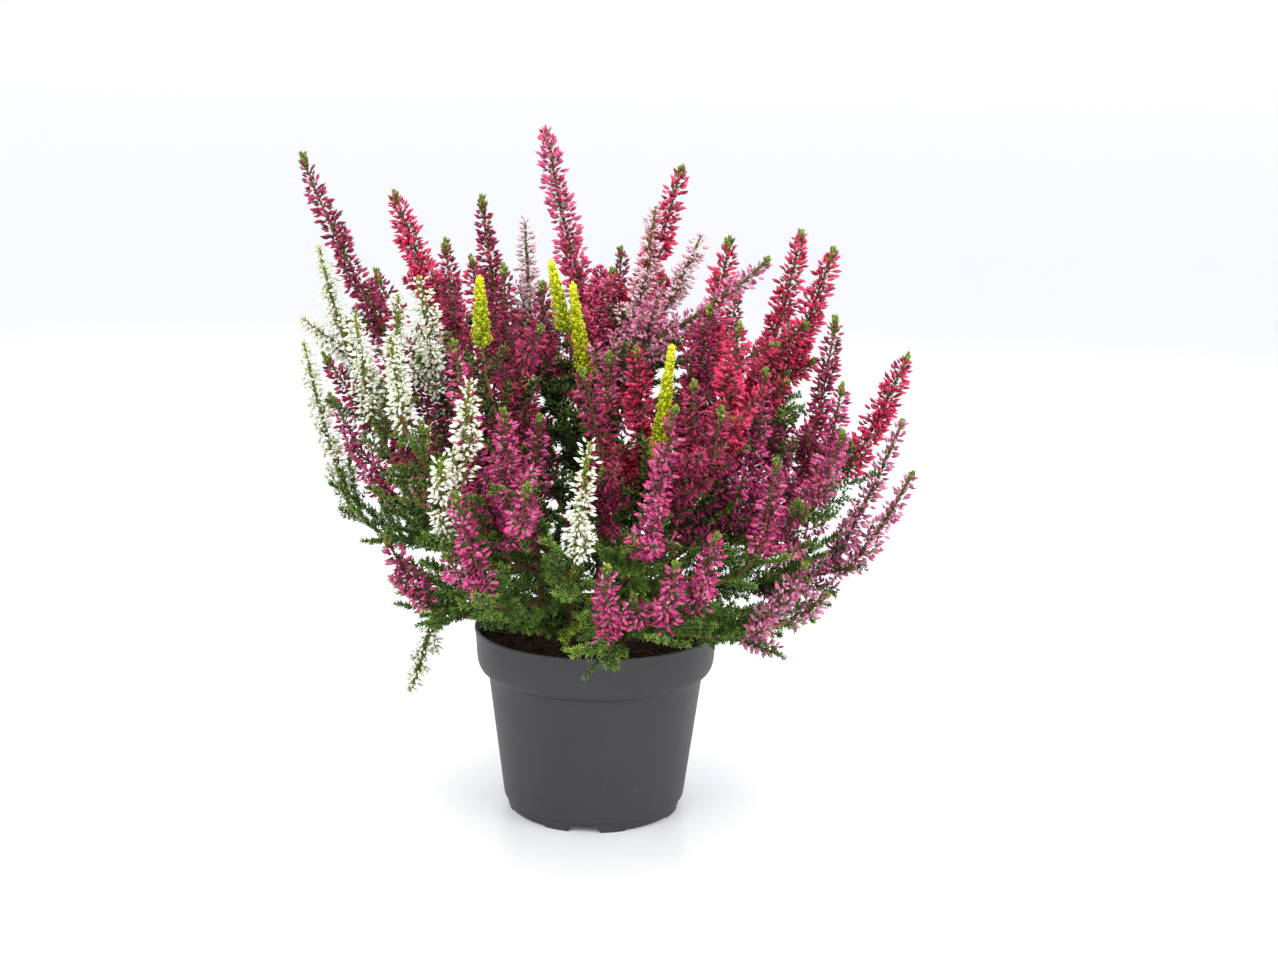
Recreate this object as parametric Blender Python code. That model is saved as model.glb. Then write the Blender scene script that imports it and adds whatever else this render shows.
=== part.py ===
"""Potted heather: a nursery pot of mixed heather with upright sprays of closed buds over woody leafy stems.

Metres, +Z up, the origin at the centre of the pot's underside, the best-looking side towards -Y.
The plant's own sizes are written in millimetres and turned to metres where a mesh is made.
"""

import math

import bpy
import numpy as np

MM = 0.001
TURN = 2 * math.pi
UP = np.array([0.0, 0.0, 1.0])

# The pot, in millimetres: a 12 cm nursery pot.
POT_SIDES = 32
RIM_RADIUS = 60.0
RIM_HEIGHT = 92.0
COLLAR_FOOT = (58.6, 74.5)
SHOULDER = (56.8, 70.8)
BODY_TOP = (53.2, 68.8)
BODY_FOOT = (45.0, 5.6)
BAND_TOP = (43.6, 5.2)
BAND_FOOT = 42.8
BAND_WALL = 1.5
BODY_WALL = 1.2
COLLAR_WALL = 1.1
FLOOR_UNDERSIDE = 3.2
FLOOR_TOP = 4.6
PAD_RADIUS = 12.0
FOOT_LIFT = 0.8
NOTCHES = 4
NOTCH_TURN = math.radians(-96)
NOTCH_WIDTHS = (16.0, 12.0)
NOTCH_HEIGHT = 2.9
FOOT_WIDTH = 12.0
CUT_REACH = (34.0, 50.0)
DRAIN_HOLES = 4
DRAIN_RADIUS = 4.0
DRAIN_REACH = 28.0

# The soil, in millimetres.
SOIL_GAP = 0.45
SOIL_TOP = 84.0
SOIL_MOUND = 1.6
SOIL_LUMP = 1.3
SOIL_RINGS = (57.5, 42.0, 22.0)
SOIL_SEED = 4
HOLE_DEPTH = 13.0
HOLE_RADIUS = 3.3

# The plants: one root on the pot's axis and six round it.
OUTER_PLANTS = 6
ROOT_REACH = 27.0
INNER_REACH = 45.0
ROOT_RADIUS = 2.2
ROOT_RISE = 3.5
STEM_RADIUS = 1.3
TWIG_RADIUS = 1.0
STEM_PITCH = 24.0
LOWEST_FORK = 99.0
FORK_SHARE = 0.3
FORK_STEP = 4.5
TRUNK_END = 12.0
TRUNK_BEND = 0.38
STEM_BEND = 0.34

# The buds and needles, in millimetres. They are fewer than the real ones and larger.
PIECE_GAP = 0.3
JOINT_GAP = 0.5
BUD_PITCH = 6.0
BUD_LEAN = (math.radians(60), math.radians(34))
BOW = 0.05
PEAK = 3.0
ROOT_NECK = 2.6
FORK_NECK = 5.0
FORK_RISE = 4.0
SHOOTS_PER_PLANT = 14
SHOOT_LENGTH = (15.0, 23.0)
SHOOT_PITCH = 4.8
SHOOT_CORE = 0.9
SHOOT_NEEDLE = 4.2
SHOOT_REACH = 3.6
SHOOT_PEAK = 2.4
SHOOT_LEAN = math.radians(48)
SHOOT_LEANS = (math.radians(58), math.radians(36))
SHOOT_START = 12.0
SHOOT_STOP = 9.0
SHOOT_STEP = 6.5
LOWEST_SHOOT = 90.0
SHOOT_SEED = 11
BALLS = 12

# Each kind of spray: its colour, the length of its buds, the radius of its core and the room it takes up.
KINDS = {
    "burgundy": ((0.24, 0.012, 0.085), 7.2, 1.9, 6.3),
    "magenta": ((0.50, 0.035, 0.19), 7.2, 1.9, 6.3),
    "crimson": ((0.62, 0.018, 0.06), 7.2, 1.9, 6.3),
    "pink": ((0.62, 0.06, 0.19), 7.4, 2.0, 6.5),
    "blush": ((0.72, 0.45, 0.58), 6.6, 1.8, 5.8),
    "mauve": ((0.42, 0.09, 0.33), 6.4, 1.7, 5.7),
    "white": ((0.80, 0.80, 0.66), 5.8, 1.6, 5.3),
    "gold": ((0.45, 0.47, 0.03), 5.0, 1.3, 4.4),
}

# Each spray's flowers from their tip to their lower end, in millimetres from the pot's underside.
# A second or third pair is a shorter spray that forks from the same stem.
SPRAYS = {
    "burgundy_left": [((-139, -12, 318), (-101, -14, 237)), ((-104, -24, 266), (-92, -22, 240))],
    "crimson_left": [((-103, 38, 301), (-79, 26, 248))],
    "burgundy_left_inner": [((-72, -22, 281), (-63, -20, 205))],
    "burgundy_upper": [((-58, 14, 300), (-47, 8, 231))],
    "burgundy_centre": [((-44, -42, 271), (-40, -38, 208)), ((-27, -20, 262), (-27, -22, 218))],
    "blush_left": [((-38, 34, 287), (-34, 26, 234))],
    "pink_tall": [((-27, 4, 330), (-5, -2, 240))],
    "crimson_tall": [((39, 26, 316), (14, 18, 238)), ((5, 20, 266), (8, 19, 240))],
    "blush_right": [((25, -8, 296), (16, -8, 241)), ((46, -14, 283), (28, -11, 246))],
    "crimson_right_inner": [((58, -34, 284), (47, -34, 214))],
    "mauve_arching": [((74, -60, 276), (20, -46, 236))],
    "burgundy_right_short": [((48, -64, 256), (44, -58, 219))],
    "crimson_right": [((98, 24, 286), (76, 10, 202)), ((110, -4, 279), (88, 2, 214))],
    "burgundy_right": [((108, -34, 249), (98, -30, 180))],
    "crimson_far_right": [((150, 8, 228), (121, 2, 168))],
    "magenta_right": [((106, -84, 204), (96, -70, 166)), ((108, -62, 222), (101, -56, 178))],
    "mauve_far_right": [((143, -24, 200), (111, -28, 130)), ((144, -50, 180), (116, -42, 130))],
    "crimson_front_right": [((60, -78, 250), (54, -72, 199))],
    "burgundy_front": [((4, -76, 236), (1, -76, 178))],
    "crimson_front": [((16, -54, 236), (20, -54, 190))],
    "gold_right": [((31, -74, 238), (25, -74, 184))],
    "burgundy_front_right": [((40, -90, 226), (42, -84, 188)), ((52, -98, 216), (49, -91, 190))],
    "magenta_front": [((32, -106, 217), (20, -100, 156))],
    "magenta_side": [((74, -58, 228), (67, -58, 170))],
    "gold_left": [((-13, -36, 262), (-5, -34, 213)), ((-23, -32, 272), (-15, -32, 238))],
    "gold_left_short": [((-53, -64, 266), (-52, -60, 234))],
    "white_left_high": [((-125, -50, 278), (-114, -44, 232))],
    "white_left_pair": [((-107, -66, 250), (-101, -58, 200)), ((-88, -66, 258), (-90, -60, 212))],
    "white_left_inner": [((-82, -40, 264), (-76, -38, 226))],
    "white_left_low": [((-89, -88, 242), (-84, -80, 201))],
    "white_far_left": [((-139, -14, 231), (-118, -20, 154))],
    "burgundy_far_left": [((-125, -46, 230), (-81, -46, 178))],
    "magenta_left": [((-63, -84, 241), (-49, -80, 168))],
    "magenta_front_pair": [((-40, -100, 214), (-38, -96, 176)), ((-29, -119, 186), (-33, -106, 160))],
    "white_front_left": [((-66, -110, 194), (-64, -98, 158)), ((-54, -108, 226), (-57, -101, 182))],
    "white_front": [((-4, -122, 203), (-9, -111, 152))],
    "magenta_low_left": [((-94, -74, 153), (-75, -66, 117))],
    "magenta_drooping": [((-59, -122, 182), (-46, -102, 132)), ((-64, -116, 155), (-54, -108, 140))],
    "magenta_low_front": [((4, -126, 153), (4, -110, 116))],
    "magenta_low_pair": [((33, -122, 154), (29, -107, 120)), ((15, -116, 139), (20, -109, 123))],
    "magenta_low_right": [((50, -114, 165), (42, -102, 126))],
    "mauve_low_right": [((92, -86, 146), (68, -78, 110)), ((104, -72, 128), (85, -73, 114))],
    "white_hanging": [((-88, -34, 68), (-78, -34, 101))],
    "magenta_side_low": [((77, -90, 193), (71, -84, 147))],
    "burgundy_back": [
        ((-14, 78, 250), (-6, 62, 196)),
        ((10, 56, 275), (8, 47, 214)),
        ((32, 72, 262), (19, 61, 209)),
    ],
    "crimson_back_left": [((-44, 96, 238), (-40, 78, 180)), ((-68, 78, 268), (-54, 67, 204))],
    "magenta_back_left": [((-136, 38, 200), (-104, 32, 150)), ((-118, 76, 232), (-98, 55, 176))],
    "white_back": [((24, 128, 176), (14, 104, 134)), ((-10, 122, 206), (-6, 105, 156))],
    "burgundy_back_right": [((98, 62, 236), (76, 50, 180)), ((72, 84, 252), (62, 65, 198))],
    "magenta_back_right": [((76, 112, 184), (62, 88, 134)), ((118, 72, 192), (88, 69, 148))],
    "crimson_back_low": [((-108, 86, 158), (-78, 68, 120)), ((-74, 112, 182), (-62, 84, 136))],
}

# Colours of what isn't a spray.
POT_COLOUR = (0.075, 0.073, 0.078)
SOIL_COLOUR = (0.022, 0.012, 0.007)
LEAF_COLOUR = (0.075, 0.16, 0.025)


def unit(vectors):
    """Each vector at length one."""
    return vectors / np.linalg.norm(vectors, axis=-1, keepdims=True)


def bezier(points, count):
    """Points spread over the Bezier curve of these control points."""
    t = np.linspace(0, 1, count)[:, None]
    order = len(points) - 1
    return sum(math.comb(order, i) * t**i * (1 - t) ** (order - i) * points[i] for i in range(order + 1))


def length_of(curve):
    return np.linalg.norm(np.diff(curve, axis=0), axis=1).sum()


def along(curve, marks):
    """Points of the curve at these distances from its start."""
    run = np.r_[0, np.cumsum(np.linalg.norm(np.diff(curve, axis=0), axis=1))]
    return np.stack([np.interp(marks, run, curve[:, axis]) for axis in range(3)], axis=1)


def spray_curve(base, tip):
    """The line of a spray: it leaves its stem leaning out and turns up towards its tip."""
    chord = tip - base
    sag = UP * np.linalg.norm(chord) - chord * chord[2] / np.linalg.norm(chord)
    middle = (base + tip) / 2 - 2 * BOW * sag
    return bezier([base, middle, tip], 25)


def start_of(curve):
    return unit(curve[1] - curve[0])


class Spray:
    """One spike of buds, with the stem or the fork that carries it."""

    def __init__(self, node, kind, first, tip, base):
        self.node, self.kind, self.first = node, kind, first
        self.tip, self.base = np.array(tip, float), np.array(base, float)
        self.plant = 0

    def curve(self):
        return spray_curve(self.base, self.tip)


def read_sprays():
    sprays = []
    for node, pairs in SPRAYS.items():
        first = None
        for tip, base in pairs:
            spray = Spray(node, node.split("_")[0], first, tip, base)
            first = first or spray
            sprays.append(spray)
    return sprays


def root_of(plant):
    """Where a plant stands on the soil."""
    if plant == 0:
        return np.array([0.0, 0.0, SOIL_TOP])
    turn = TURN * (plant - 1) / OUTER_PLANTS
    return np.array([ROOT_REACH * math.cos(turn), ROOT_REACH * math.sin(turn), SOIL_TOP])


def share_out(sprays):
    """Gives each spray to the plant that it leans from: the middle one, or the outer one on its side."""
    for spray in sprays:
        carrier = spray.first or spray
        if np.linalg.norm(carrier.base[:2]) < INNER_REACH:
            spray.plant = 0
        else:
            turn = math.atan2(carrier.base[1], carrier.base[0]) / TURN
            spray.plant = 1 + round(turn * OUTER_PLANTS) % OUTER_PLANTS


def leader_of(members):
    """The spray that stands most nearly over its plant's root."""
    return min(members, key=lambda s: np.linalg.norm(s.base[:2] - root_of(s.plant)[:2]))


def stem_line(start, leave, spray, bend):
    """A stem's line of straight pieces from its start to its spray, in line with the spray at its end."""
    pull = bend * np.linalg.norm(spray.base - start)
    arrive = start_of(spray.curve())
    curve = bezier([start, start + leave * pull, spray.base - arrive * pull, spray.base], 33)
    length = length_of(curve)
    return along(curve, np.linspace(0, length, 1 + max(2, round(length / STEM_PITCH))))


def stems_of(members):
    """The stem under each spray: the leader's rises from the root, and the others fork from it in turn."""
    leader = leader_of(members)
    root = root_of(leader.plant)
    trunk = stem_line(root + UP * ROOT_RISE, UP, leader, TRUNK_BEND)
    trunk = np.concatenate([[root - UP * (HOLE_DEPTH - PIECE_GAP)], trunk])
    stems = {id(leader): trunk}
    fork = LOWEST_FORK - FORK_STEP
    for spray in sorted((s for s in members if s is not leader), key=lambda s: s.base[2]):
        wanted = LOWEST_FORK + FORK_SHARE * (spray.base[2] - LOWEST_FORK)
        fork = min(max(fork + FORK_STEP, wanted), trunk[-1][2] - TRUNK_END)
        above = int(np.argmax(trunk[:, 2] > fork))
        rise = unit(trunk[above] - trunk[above - 1])
        start = trunk[above] - rise * (trunk[above][2] - fork) / rise[2]
        leave = unit(0.6 * rise + unit(spray.base - start))
        stems[id(spray)] = stem_line(start, leave, spray, STEM_BEND)
    return stems


def all_stems(sprays):
    stems = {}
    for plant in range(OUTER_PLANTS + 1):
        members = [s for s in sprays if s.plant == plant and s.first is None]
        stems.update(stems_of(members))
    return stems


def room(sprays, stems):
    """Balls that fill every spray and stem: centres, radii, owner's number, and whether it is in flower."""
    spike_marks = np.linspace(0.07, 0.94, BALLS)
    spike_width = np.interp(spike_marks, [0, 0.12, 0.7, 1], [0.55, 1, 1, 0.5])
    stalk_marks = np.linspace(0.03, 0.95, BALLS)
    centres, radii = [], []
    for spray in sprays:
        spike = spray.curve()
        stalk = stems[id(spray)] if spray.first is None else np.array([spray.first.base, spray.base])
        centres.append(along(spike, spike_marks * length_of(spike)))
        centres.append(along(stalk, stalk_marks * length_of(stalk)))
        radii += [spike_width * KINDS[spray.kind][3], np.full(BALLS, STEM_RADIUS + PIECE_GAP)]
    owner = np.repeat(np.arange(len(sprays)), 2 * BALLS)
    flower = np.tile(np.repeat([True, False], BALLS), len(sprays))
    return np.concatenate(centres), np.concatenate(radii), owner, flower


def rings_along(path, radii):
    """Three-cornered rings square to the path, each turned half a side from the one below it."""
    forward = unit(np.gradient(path, axis=0))
    side = np.cross(forward[0], [0.31, 0.95, 0.05])
    rings = []
    for step, (point, ahead, radius) in enumerate(zip(path, forward, radii)):
        side = unit(side - ahead * (side @ ahead))
        turns = TURN * np.arange(3) / 3 + step * TURN / 6
        across = np.outer(np.cos(turns), side) + np.outer(np.sin(turns), np.cross(ahead, side))
        rings.append(point + radius * across)
    return np.array(rings), forward


def stack(path, radii, buds, leans, peak, root=None):
    """A closed shape of stacked rings whose upright facets are drawn out to points where buds has a length.

    A facet's point lies its bud's length from the facet's middle, at the bud's lean from the path.
    The top ring closes in one point, peak beyond it, or in a flat facet where peak is zero.
    The bottom ring closes in the root, a point inside the stem that carries the shape, or in a flat facet.
    """
    rings, forward = rings_along(path, radii)
    count = len(path)
    points = rings.reshape(-1, 3)
    lower = np.arange(count - 1)[:, None] * 3 + np.arange(3)
    lower_next = np.arange(count - 1)[:, None] * 3 + (np.arange(3) + 1) % 3
    upper, upper_next = lower + 3, lower_next + 3
    faces = [np.stack([upper, lower_next, upper_next], axis=2).reshape(-1, 3)]
    drawn = np.asarray(buds) > 0
    plain = np.stack([lower, lower_next, upper], axis=2)
    faces.append(plain[~drawn].reshape(-1, 3))
    base = plain[drawn]
    if len(base):
        middle = points[base].mean(axis=2)
        ahead = (forward[:-1] + forward[1:])[drawn][:, None] / 2
        outward = middle - ((path[:-1] + path[1:]) / 2)[drawn][:, None]
        outward = unit(outward - ahead * (outward * ahead).sum(axis=2, keepdims=True))
        lean = np.asarray(leans)[drawn][:, None, None]
        reach = np.asarray(buds)[drawn][:, None, None]
        tips = middle + reach * (np.cos(lean) * ahead + np.sin(lean) * outward)
        tip = len(points) + np.arange(tips.size // 3)
        base = base.reshape(-1, 3)
        points = np.concatenate([points, tips.reshape(-1, 3)])
        faces += [np.stack([base[:, i], base[:, (i + 1) % 3], tip], axis=1) for i in range(3)]
    if root is None:
        faces.append(np.array([[2, 1, 0]]))
    else:
        points = np.concatenate([points, [root]])
        last = len(points) - 1
        faces.append(np.array([[1, 0, last], [2, 1, last], [0, 2, last]]))
    top = 3 * (count - 1)
    if peak:
        points = np.concatenate([points, [path[-1] + forward[-1] * peak]])
        last = len(points) - 1
        faces.append(np.array([[top, top + 1, last], [top + 1, top + 2, last], [top + 2, top, last]]))
    else:
        faces.append(np.array([[top, top + 1, top + 2]]))
    return points, np.concatenate(faces)


def spike_shape(spray):
    """One spike of buds: full from near its base, narrower towards its tip."""
    _, bud, core, _ = KINDS[spray.kind]
    curve = spray.curve()
    length = length_of(curve) - JOINT_GAP / 2 - PEAK
    bands = max(3, round(length / BUD_PITCH))
    share = np.linspace(0, 1, bands + 1)
    path = along(curve, JOINT_GAP / 2 + share * length)
    radii = core * np.interp(share, [0, 0.12, 0.7, 1], [0.6, 1, 0.9, 0.5])
    middle = (share[:-1] + share[1:]) / 2
    buds = bud * np.interp(middle, [0, 0.2, 0.7, 1], [0.8, 1, 1, 0.6])
    leans = np.interp(middle, [0, 1], BUD_LEAN)
    if spray.first is None:
        return stack(path, radii, buds, leans, PEAK)
    root = along(spray.first.curve(), [FORK_RISE])[0]
    stalk = root + unit(path[0] - root) * ROOT_NECK
    return stack(
        np.concatenate([[stalk], path]),
        np.r_[TWIG_RADIUS, radii],
        np.r_[-1, buds],
        np.r_[0, leans],
        PEAK,
        root,
    )


def stem_shape(line, leader):
    """A bare woody stem with a flat end, cut short of the spray that it carries."""
    path = line.copy()
    path[-1] -= unit(line[-1] - line[-2]) * JOINT_GAP / 2
    thick, root = (ROOT_RADIUS, None) if leader else (STEM_RADIUS, path[0].copy())
    if not leader:
        path[0] += unit(path[1] - path[0]) * FORK_NECK
    bands = len(path) - 1
    radii = np.interp(np.linspace(0, 1, bands + 1), [0, 0.5, 1], [thick, (thick + STEM_RADIUS) / 2, 1.1])
    return stack(path, radii, np.full(bands, -1.0), np.zeros(bands), 0, root)


def shoot_curve(start, ahead, length):
    """A side shoot, which starts inside its stem and turns up a little."""
    end = start + ahead * length + UP * 0.12 * length
    return bezier([start, start + ahead * length * 0.55, end], 9)


def clear_of_pot(points, reach):
    """True where balls of this reach touch neither the pot's rim nor the soil."""
    out = np.linalg.norm(points[:, :2], axis=1)
    over = points[:, 2] > RIM_HEIGHT + reach + 1
    inside = (out < COLLAR_FOOT[0] - COLLAR_WALL - 1 - reach) & (points[:, 2] > SOIL_TOP + 3 + reach)
    outside = out > RIM_RADIUS + 1 + reach
    return bool((over | inside | outside).all())


def shoot_wishes(sprays, stems):
    """Places for side shoots up every stem: the stem's number, how far up it, and the turn round it."""
    wishes = []
    for number, spray in enumerate(sprays):
        if spray.first is None:
            marks = np.arange(SHOOT_START, length_of(stems[id(spray)]) - SHOOT_STOP, SHOOT_STEP)
            wishes += [(number, mark, 2.4 * count + number) for count, mark in enumerate(marks)]
    return wishes


def shoot_at(stem, mark, turn, length):
    """The line of a side shoot that leaves the stem at this mark, turned round it."""
    start, beyond = along(stem, [mark, mark + 1])
    ahead = unit(beyond - start)
    side = unit(np.cross(ahead, [0.2, 0.1, 1.0]))
    outward = math.cos(turn) * side + math.sin(turn) * np.cross(ahead, side)
    return shoot_curve(start, math.cos(SHOOT_LEAN) * ahead + math.sin(SHOOT_LEAN) * outward, length)


def shoots_of(sprays, stems):
    """Side shoots for each plant, in a shuffled order, from those that would be clear of all else."""
    draw = np.random.default_rng(SHOOT_SEED)
    centres, radii, owner, flower = room(sprays, stems)
    chosen = {number: [] for number in range(OUTER_PLANTS + 1)}
    wishes = shoot_wishes(sprays, stems)
    for choice in draw.permutation(len(wishes)):
        number, mark, turn = wishes[choice]
        plant = sprays[number].plant
        if len(chosen[plant]) == SHOOTS_PER_PLANT:
            continue
        curve = shoot_at(stems[id(sprays[number])], mark, turn, draw.uniform(*SHOOT_LENGTH))
        balls = along(curve, np.linspace(6, length_of(curve), 6))
        if curve[0][2] < LOWEST_SHOOT or not clear_of_pot(balls, SHOOT_REACH):
            continue
        distance = np.linalg.norm(balls[:, None] - centres[None], axis=2)
        other = (owner != number) | flower
        if (distance < radii[None] + SHOOT_REACH + PIECE_GAP)[:, other].any():
            continue
        chosen[plant].append(curve)
        centres = np.concatenate([centres, balls])
        radii = np.r_[radii, np.full(len(balls), SHOOT_REACH)]
        owner = np.r_[owner, np.full(len(balls), -1)]
        flower = np.r_[flower, np.full(len(balls), False)]
    return chosen


def shoot_shape(curve):
    """A leafy side shoot: a slim core with needles all round it, out to its tip."""
    length = length_of(curve) - ROOT_NECK - SHOOT_PEAK
    bands = max(2, round(length / SHOOT_PITCH))
    share = np.linspace(0, 1, bands + 1)
    needles = SHOOT_NEEDLE * np.interp((share[:-1] + share[1:]) / 2, [0, 0.2, 1], [0.9, 1, 0.75])
    leans = np.interp(share[:-1], [0, 1], SHOOT_LEANS)
    path = along(curve, ROOT_NECK + share * length)
    return stack(path, SHOOT_CORE * (1 - 0.4 * share), needles, leans, SHOOT_PEAK, curve[0])


def finish(name, colour, roughness):
    """A plain painted surface for one kind of piece."""
    material = bpy.data.materials.new(name)
    material.use_nodes = True
    shader = material.node_tree.nodes["Principled BSDF"]
    shader.inputs["Base Color"].default_value = (*colour, 1)
    shader.inputs["Roughness"].default_value = roughness
    shader.inputs["Metallic"].default_value = 0.0
    return material


def solid(name, points, faces, material=None):
    """An object from points in millimetres."""
    mesh = bpy.data.meshes.new(name)
    mesh.from_pydata((np.asarray(points) * MM).tolist(), [], [[int(i) for i in face] for face in faces])
    if material:
        mesh.materials.append(material)
    built = bpy.data.objects.new(name, mesh)
    bpy.context.scene.collection.objects.link(built)
    return built


def apply_modifiers(target):
    graph = bpy.context.evaluated_depsgraph_get()
    joined = bpy.data.meshes.new_from_object(target.evaluated_get(graph))
    target.modifiers.clear()
    target.data = joined


def fuse(name, shapes, material):
    """One solid from several shapes that run into each other."""
    target = solid(name, *shapes[0], material)
    if len(shapes) == 1:
        return
    others = bpy.data.collections.new(name + "_repeats")
    bpy.context.scene.collection.children.link(others)
    for number, shape in enumerate(shapes[1:]):
        repeat = solid(f"{name}_repeat_{number}", *shape)
        bpy.context.scene.collection.objects.unlink(repeat)
        others.objects.link(repeat)
    join = target.modifiers.new("join", "BOOLEAN")
    join.operation, join.operand_type, join.collection = "UNION", "COLLECTION", others
    apply_modifiers(target)
    for repeat in list(others.objects):
        bpy.data.objects.remove(repeat)
    bpy.data.collections.remove(others)


def turned(outline):
    """A closed turned shape: the outline runs from the axis round the outside and back to the axis."""
    turns = TURN * np.arange(POT_SIDES) / POT_SIDES
    circle = np.stack([np.cos(turns), np.sin(turns)], axis=1)
    rings = [np.c_[circle * radius, np.full(POT_SIDES, height)] for radius, height in outline[1:-1]]
    points = np.concatenate([*rings, [[0, 0, outline[0][1]], [0, 0, outline[-1][1]]]])
    first, last = len(points) - 2, len(points) - 1
    step = np.arange(POT_SIDES)
    after = (step + 1) % POT_SIDES
    faces = []
    for ring in range(len(rings) - 1):
        low, high = ring * POT_SIDES, (ring + 1) * POT_SIDES
        faces += np.stack([low + step, low + after, high + after, high + step], axis=1).tolist()
    faces += np.stack([np.full(POT_SIDES, first), after, step], axis=1).tolist()
    top = (len(rings) - 1) * POT_SIDES
    faces += np.stack([np.full(POT_SIDES, last), top + step, top + after], axis=1).tolist()
    return points, faces


def in_triangles(faces):
    """Each four-sided face split in two, so that lumps leave no face bent."""
    return [piece for f in faces for piece in ([f] if len(f) == 3 else [f[:3], [f[0], f[2], f[3]]])]


def circle_of(centre, radius, sides):
    """Corners of a circle, anticlockwise."""
    turns = TURN * np.arange(sides) / sides
    return [(centre[0] + radius * math.cos(t), centre[1] + radius * math.sin(t)) for t in turns]


def prism(corners, low, high):
    """An upright prism on a ring of corners that runs anticlockwise seen from above."""
    count = len(corners)
    points = [(x, y, low) for x, y in corners] + [(x, y, high) for x, y in corners]
    sides = [(i, (i + 1) % count, count + (i + 1) % count, count + i) for i in range(count)]
    return points, [tuple(range(count))[::-1], tuple(range(count, 2 * count)), *sides]


def cutter(name, points, faces):
    """A helper that cuts another shape and isn't part of the plant."""
    helper = solid(name, points, faces)
    helper.hide_render = True
    helper.display_type = "WIRE"
    return helper


def cut(target, helper):
    carve = target.modifiers.new(helper.name, "BOOLEAN")
    carve.operation, carve.object = "DIFFERENCE", helper


def turn_about(points, turn):
    points = np.array(points, float)
    x, y = points[:, 0].copy(), points[:, 1].copy()
    points[:, 0] = x * math.cos(turn) - y * math.sin(turn)
    points[:, 1] = x * math.sin(turn) + y * math.cos(turn)
    return points


def notch_block():
    """The opening at a foot of the base band: wider at the bottom, cut along +X."""
    wide, narrow = NOTCH_WIDTHS[0] / 2, NOTCH_WIDTHS[1] / 2
    section = [(-wide, -1.0), (wide, -1.0), (narrow, NOTCH_HEIGHT), (-narrow, NOTCH_HEIGHT)]
    points = [(CUT_REACH[0], y, z) for y, z in section] + [(CUT_REACH[1], y, z) for y, z in section]
    faces = [(3, 2, 1, 0), (4, 5, 6, 7), (0, 1, 5, 4), (1, 2, 6, 5), (2, 3, 7, 6), (3, 0, 4, 7)]
    return points, faces


def lift_block():
    """The shallow cut that leaves two feet beside each notch a little lower than the rest of the band."""
    start = (NOTCH_WIDTHS[0] / 2 + FOOT_WIDTH) / BAND_FOOT
    turns = np.linspace(start, TURN / NOTCHES - start, 5)
    outer = [(CUT_REACH[1] * math.cos(t), CUT_REACH[1] * math.sin(t)) for t in turns]
    inner = [(CUT_REACH[0] * math.cos(t), CUT_REACH[0] * math.sin(t)) for t in turns[::-1]]
    return prism(outer + inner, -1.0, FOOT_LIFT)


def make_pot():
    """The moulded pot: a thin wall, a floor with drain holes, and a base band with notches and feet."""
    outline = [
        (0, 0),
        (PAD_RADIUS, 0),
        (PAD_RADIUS + 1.5, FLOOR_UNDERSIDE),
        (BAND_FOOT - BAND_WALL - 0.3, FLOOR_UNDERSIDE),
        (BAND_FOOT - BAND_WALL, 0),
        (BAND_FOOT, 0),
        BAND_TOP,
        BODY_FOOT,
        BODY_TOP,
        SHOULDER,
        COLLAR_FOOT,
        (RIM_RADIUS - 0.4, RIM_HEIGHT - 1.3),
        (RIM_RADIUS, RIM_HEIGHT - 0.6),
        (RIM_RADIUS - 0.5, RIM_HEIGHT),
        (RIM_RADIUS - 1.5, RIM_HEIGHT - 0.5),
        (COLLAR_FOOT[0] - COLLAR_WALL, COLLAR_FOOT[1] + 0.5),
        (BODY_TOP[0] - BODY_WALL, BODY_TOP[1] + 0.2),
        (BODY_FOOT[0] - BODY_WALL, FLOOR_TOP),
        (0, FLOOR_TOP),
    ]
    pot = solid("pot", *turned(outline), finish("pot plastic", POT_COLOUR, 0.55))
    for number in range(NOTCHES):
        turn = NOTCH_TURN + TURN * number / NOTCHES
        points, faces = notch_block()
        cut(pot, cutter(f"notch_cutter_{number}", turn_about(points, turn), faces))
        points, faces = lift_block()
        cut(pot, cutter(f"lift_cutter_{number}", turn_about(points, turn), faces))
    for number in range(DRAIN_HOLES):
        turn = NOTCH_TURN + TURN * (number + 0.5) / DRAIN_HOLES
        corners = circle_of((DRAIN_REACH, 0), DRAIN_RADIUS, 8)
        points, faces = prism(corners, FLOOR_UNDERSIDE - 1, FLOOR_TOP + 1)
        cut(pot, cutter(f"drain_cutter_{number}", turn_about(points, turn), faces))
    apply_modifiers(pot)
    pot.data.set_sharp_from_angle(angle=math.radians(32))


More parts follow.
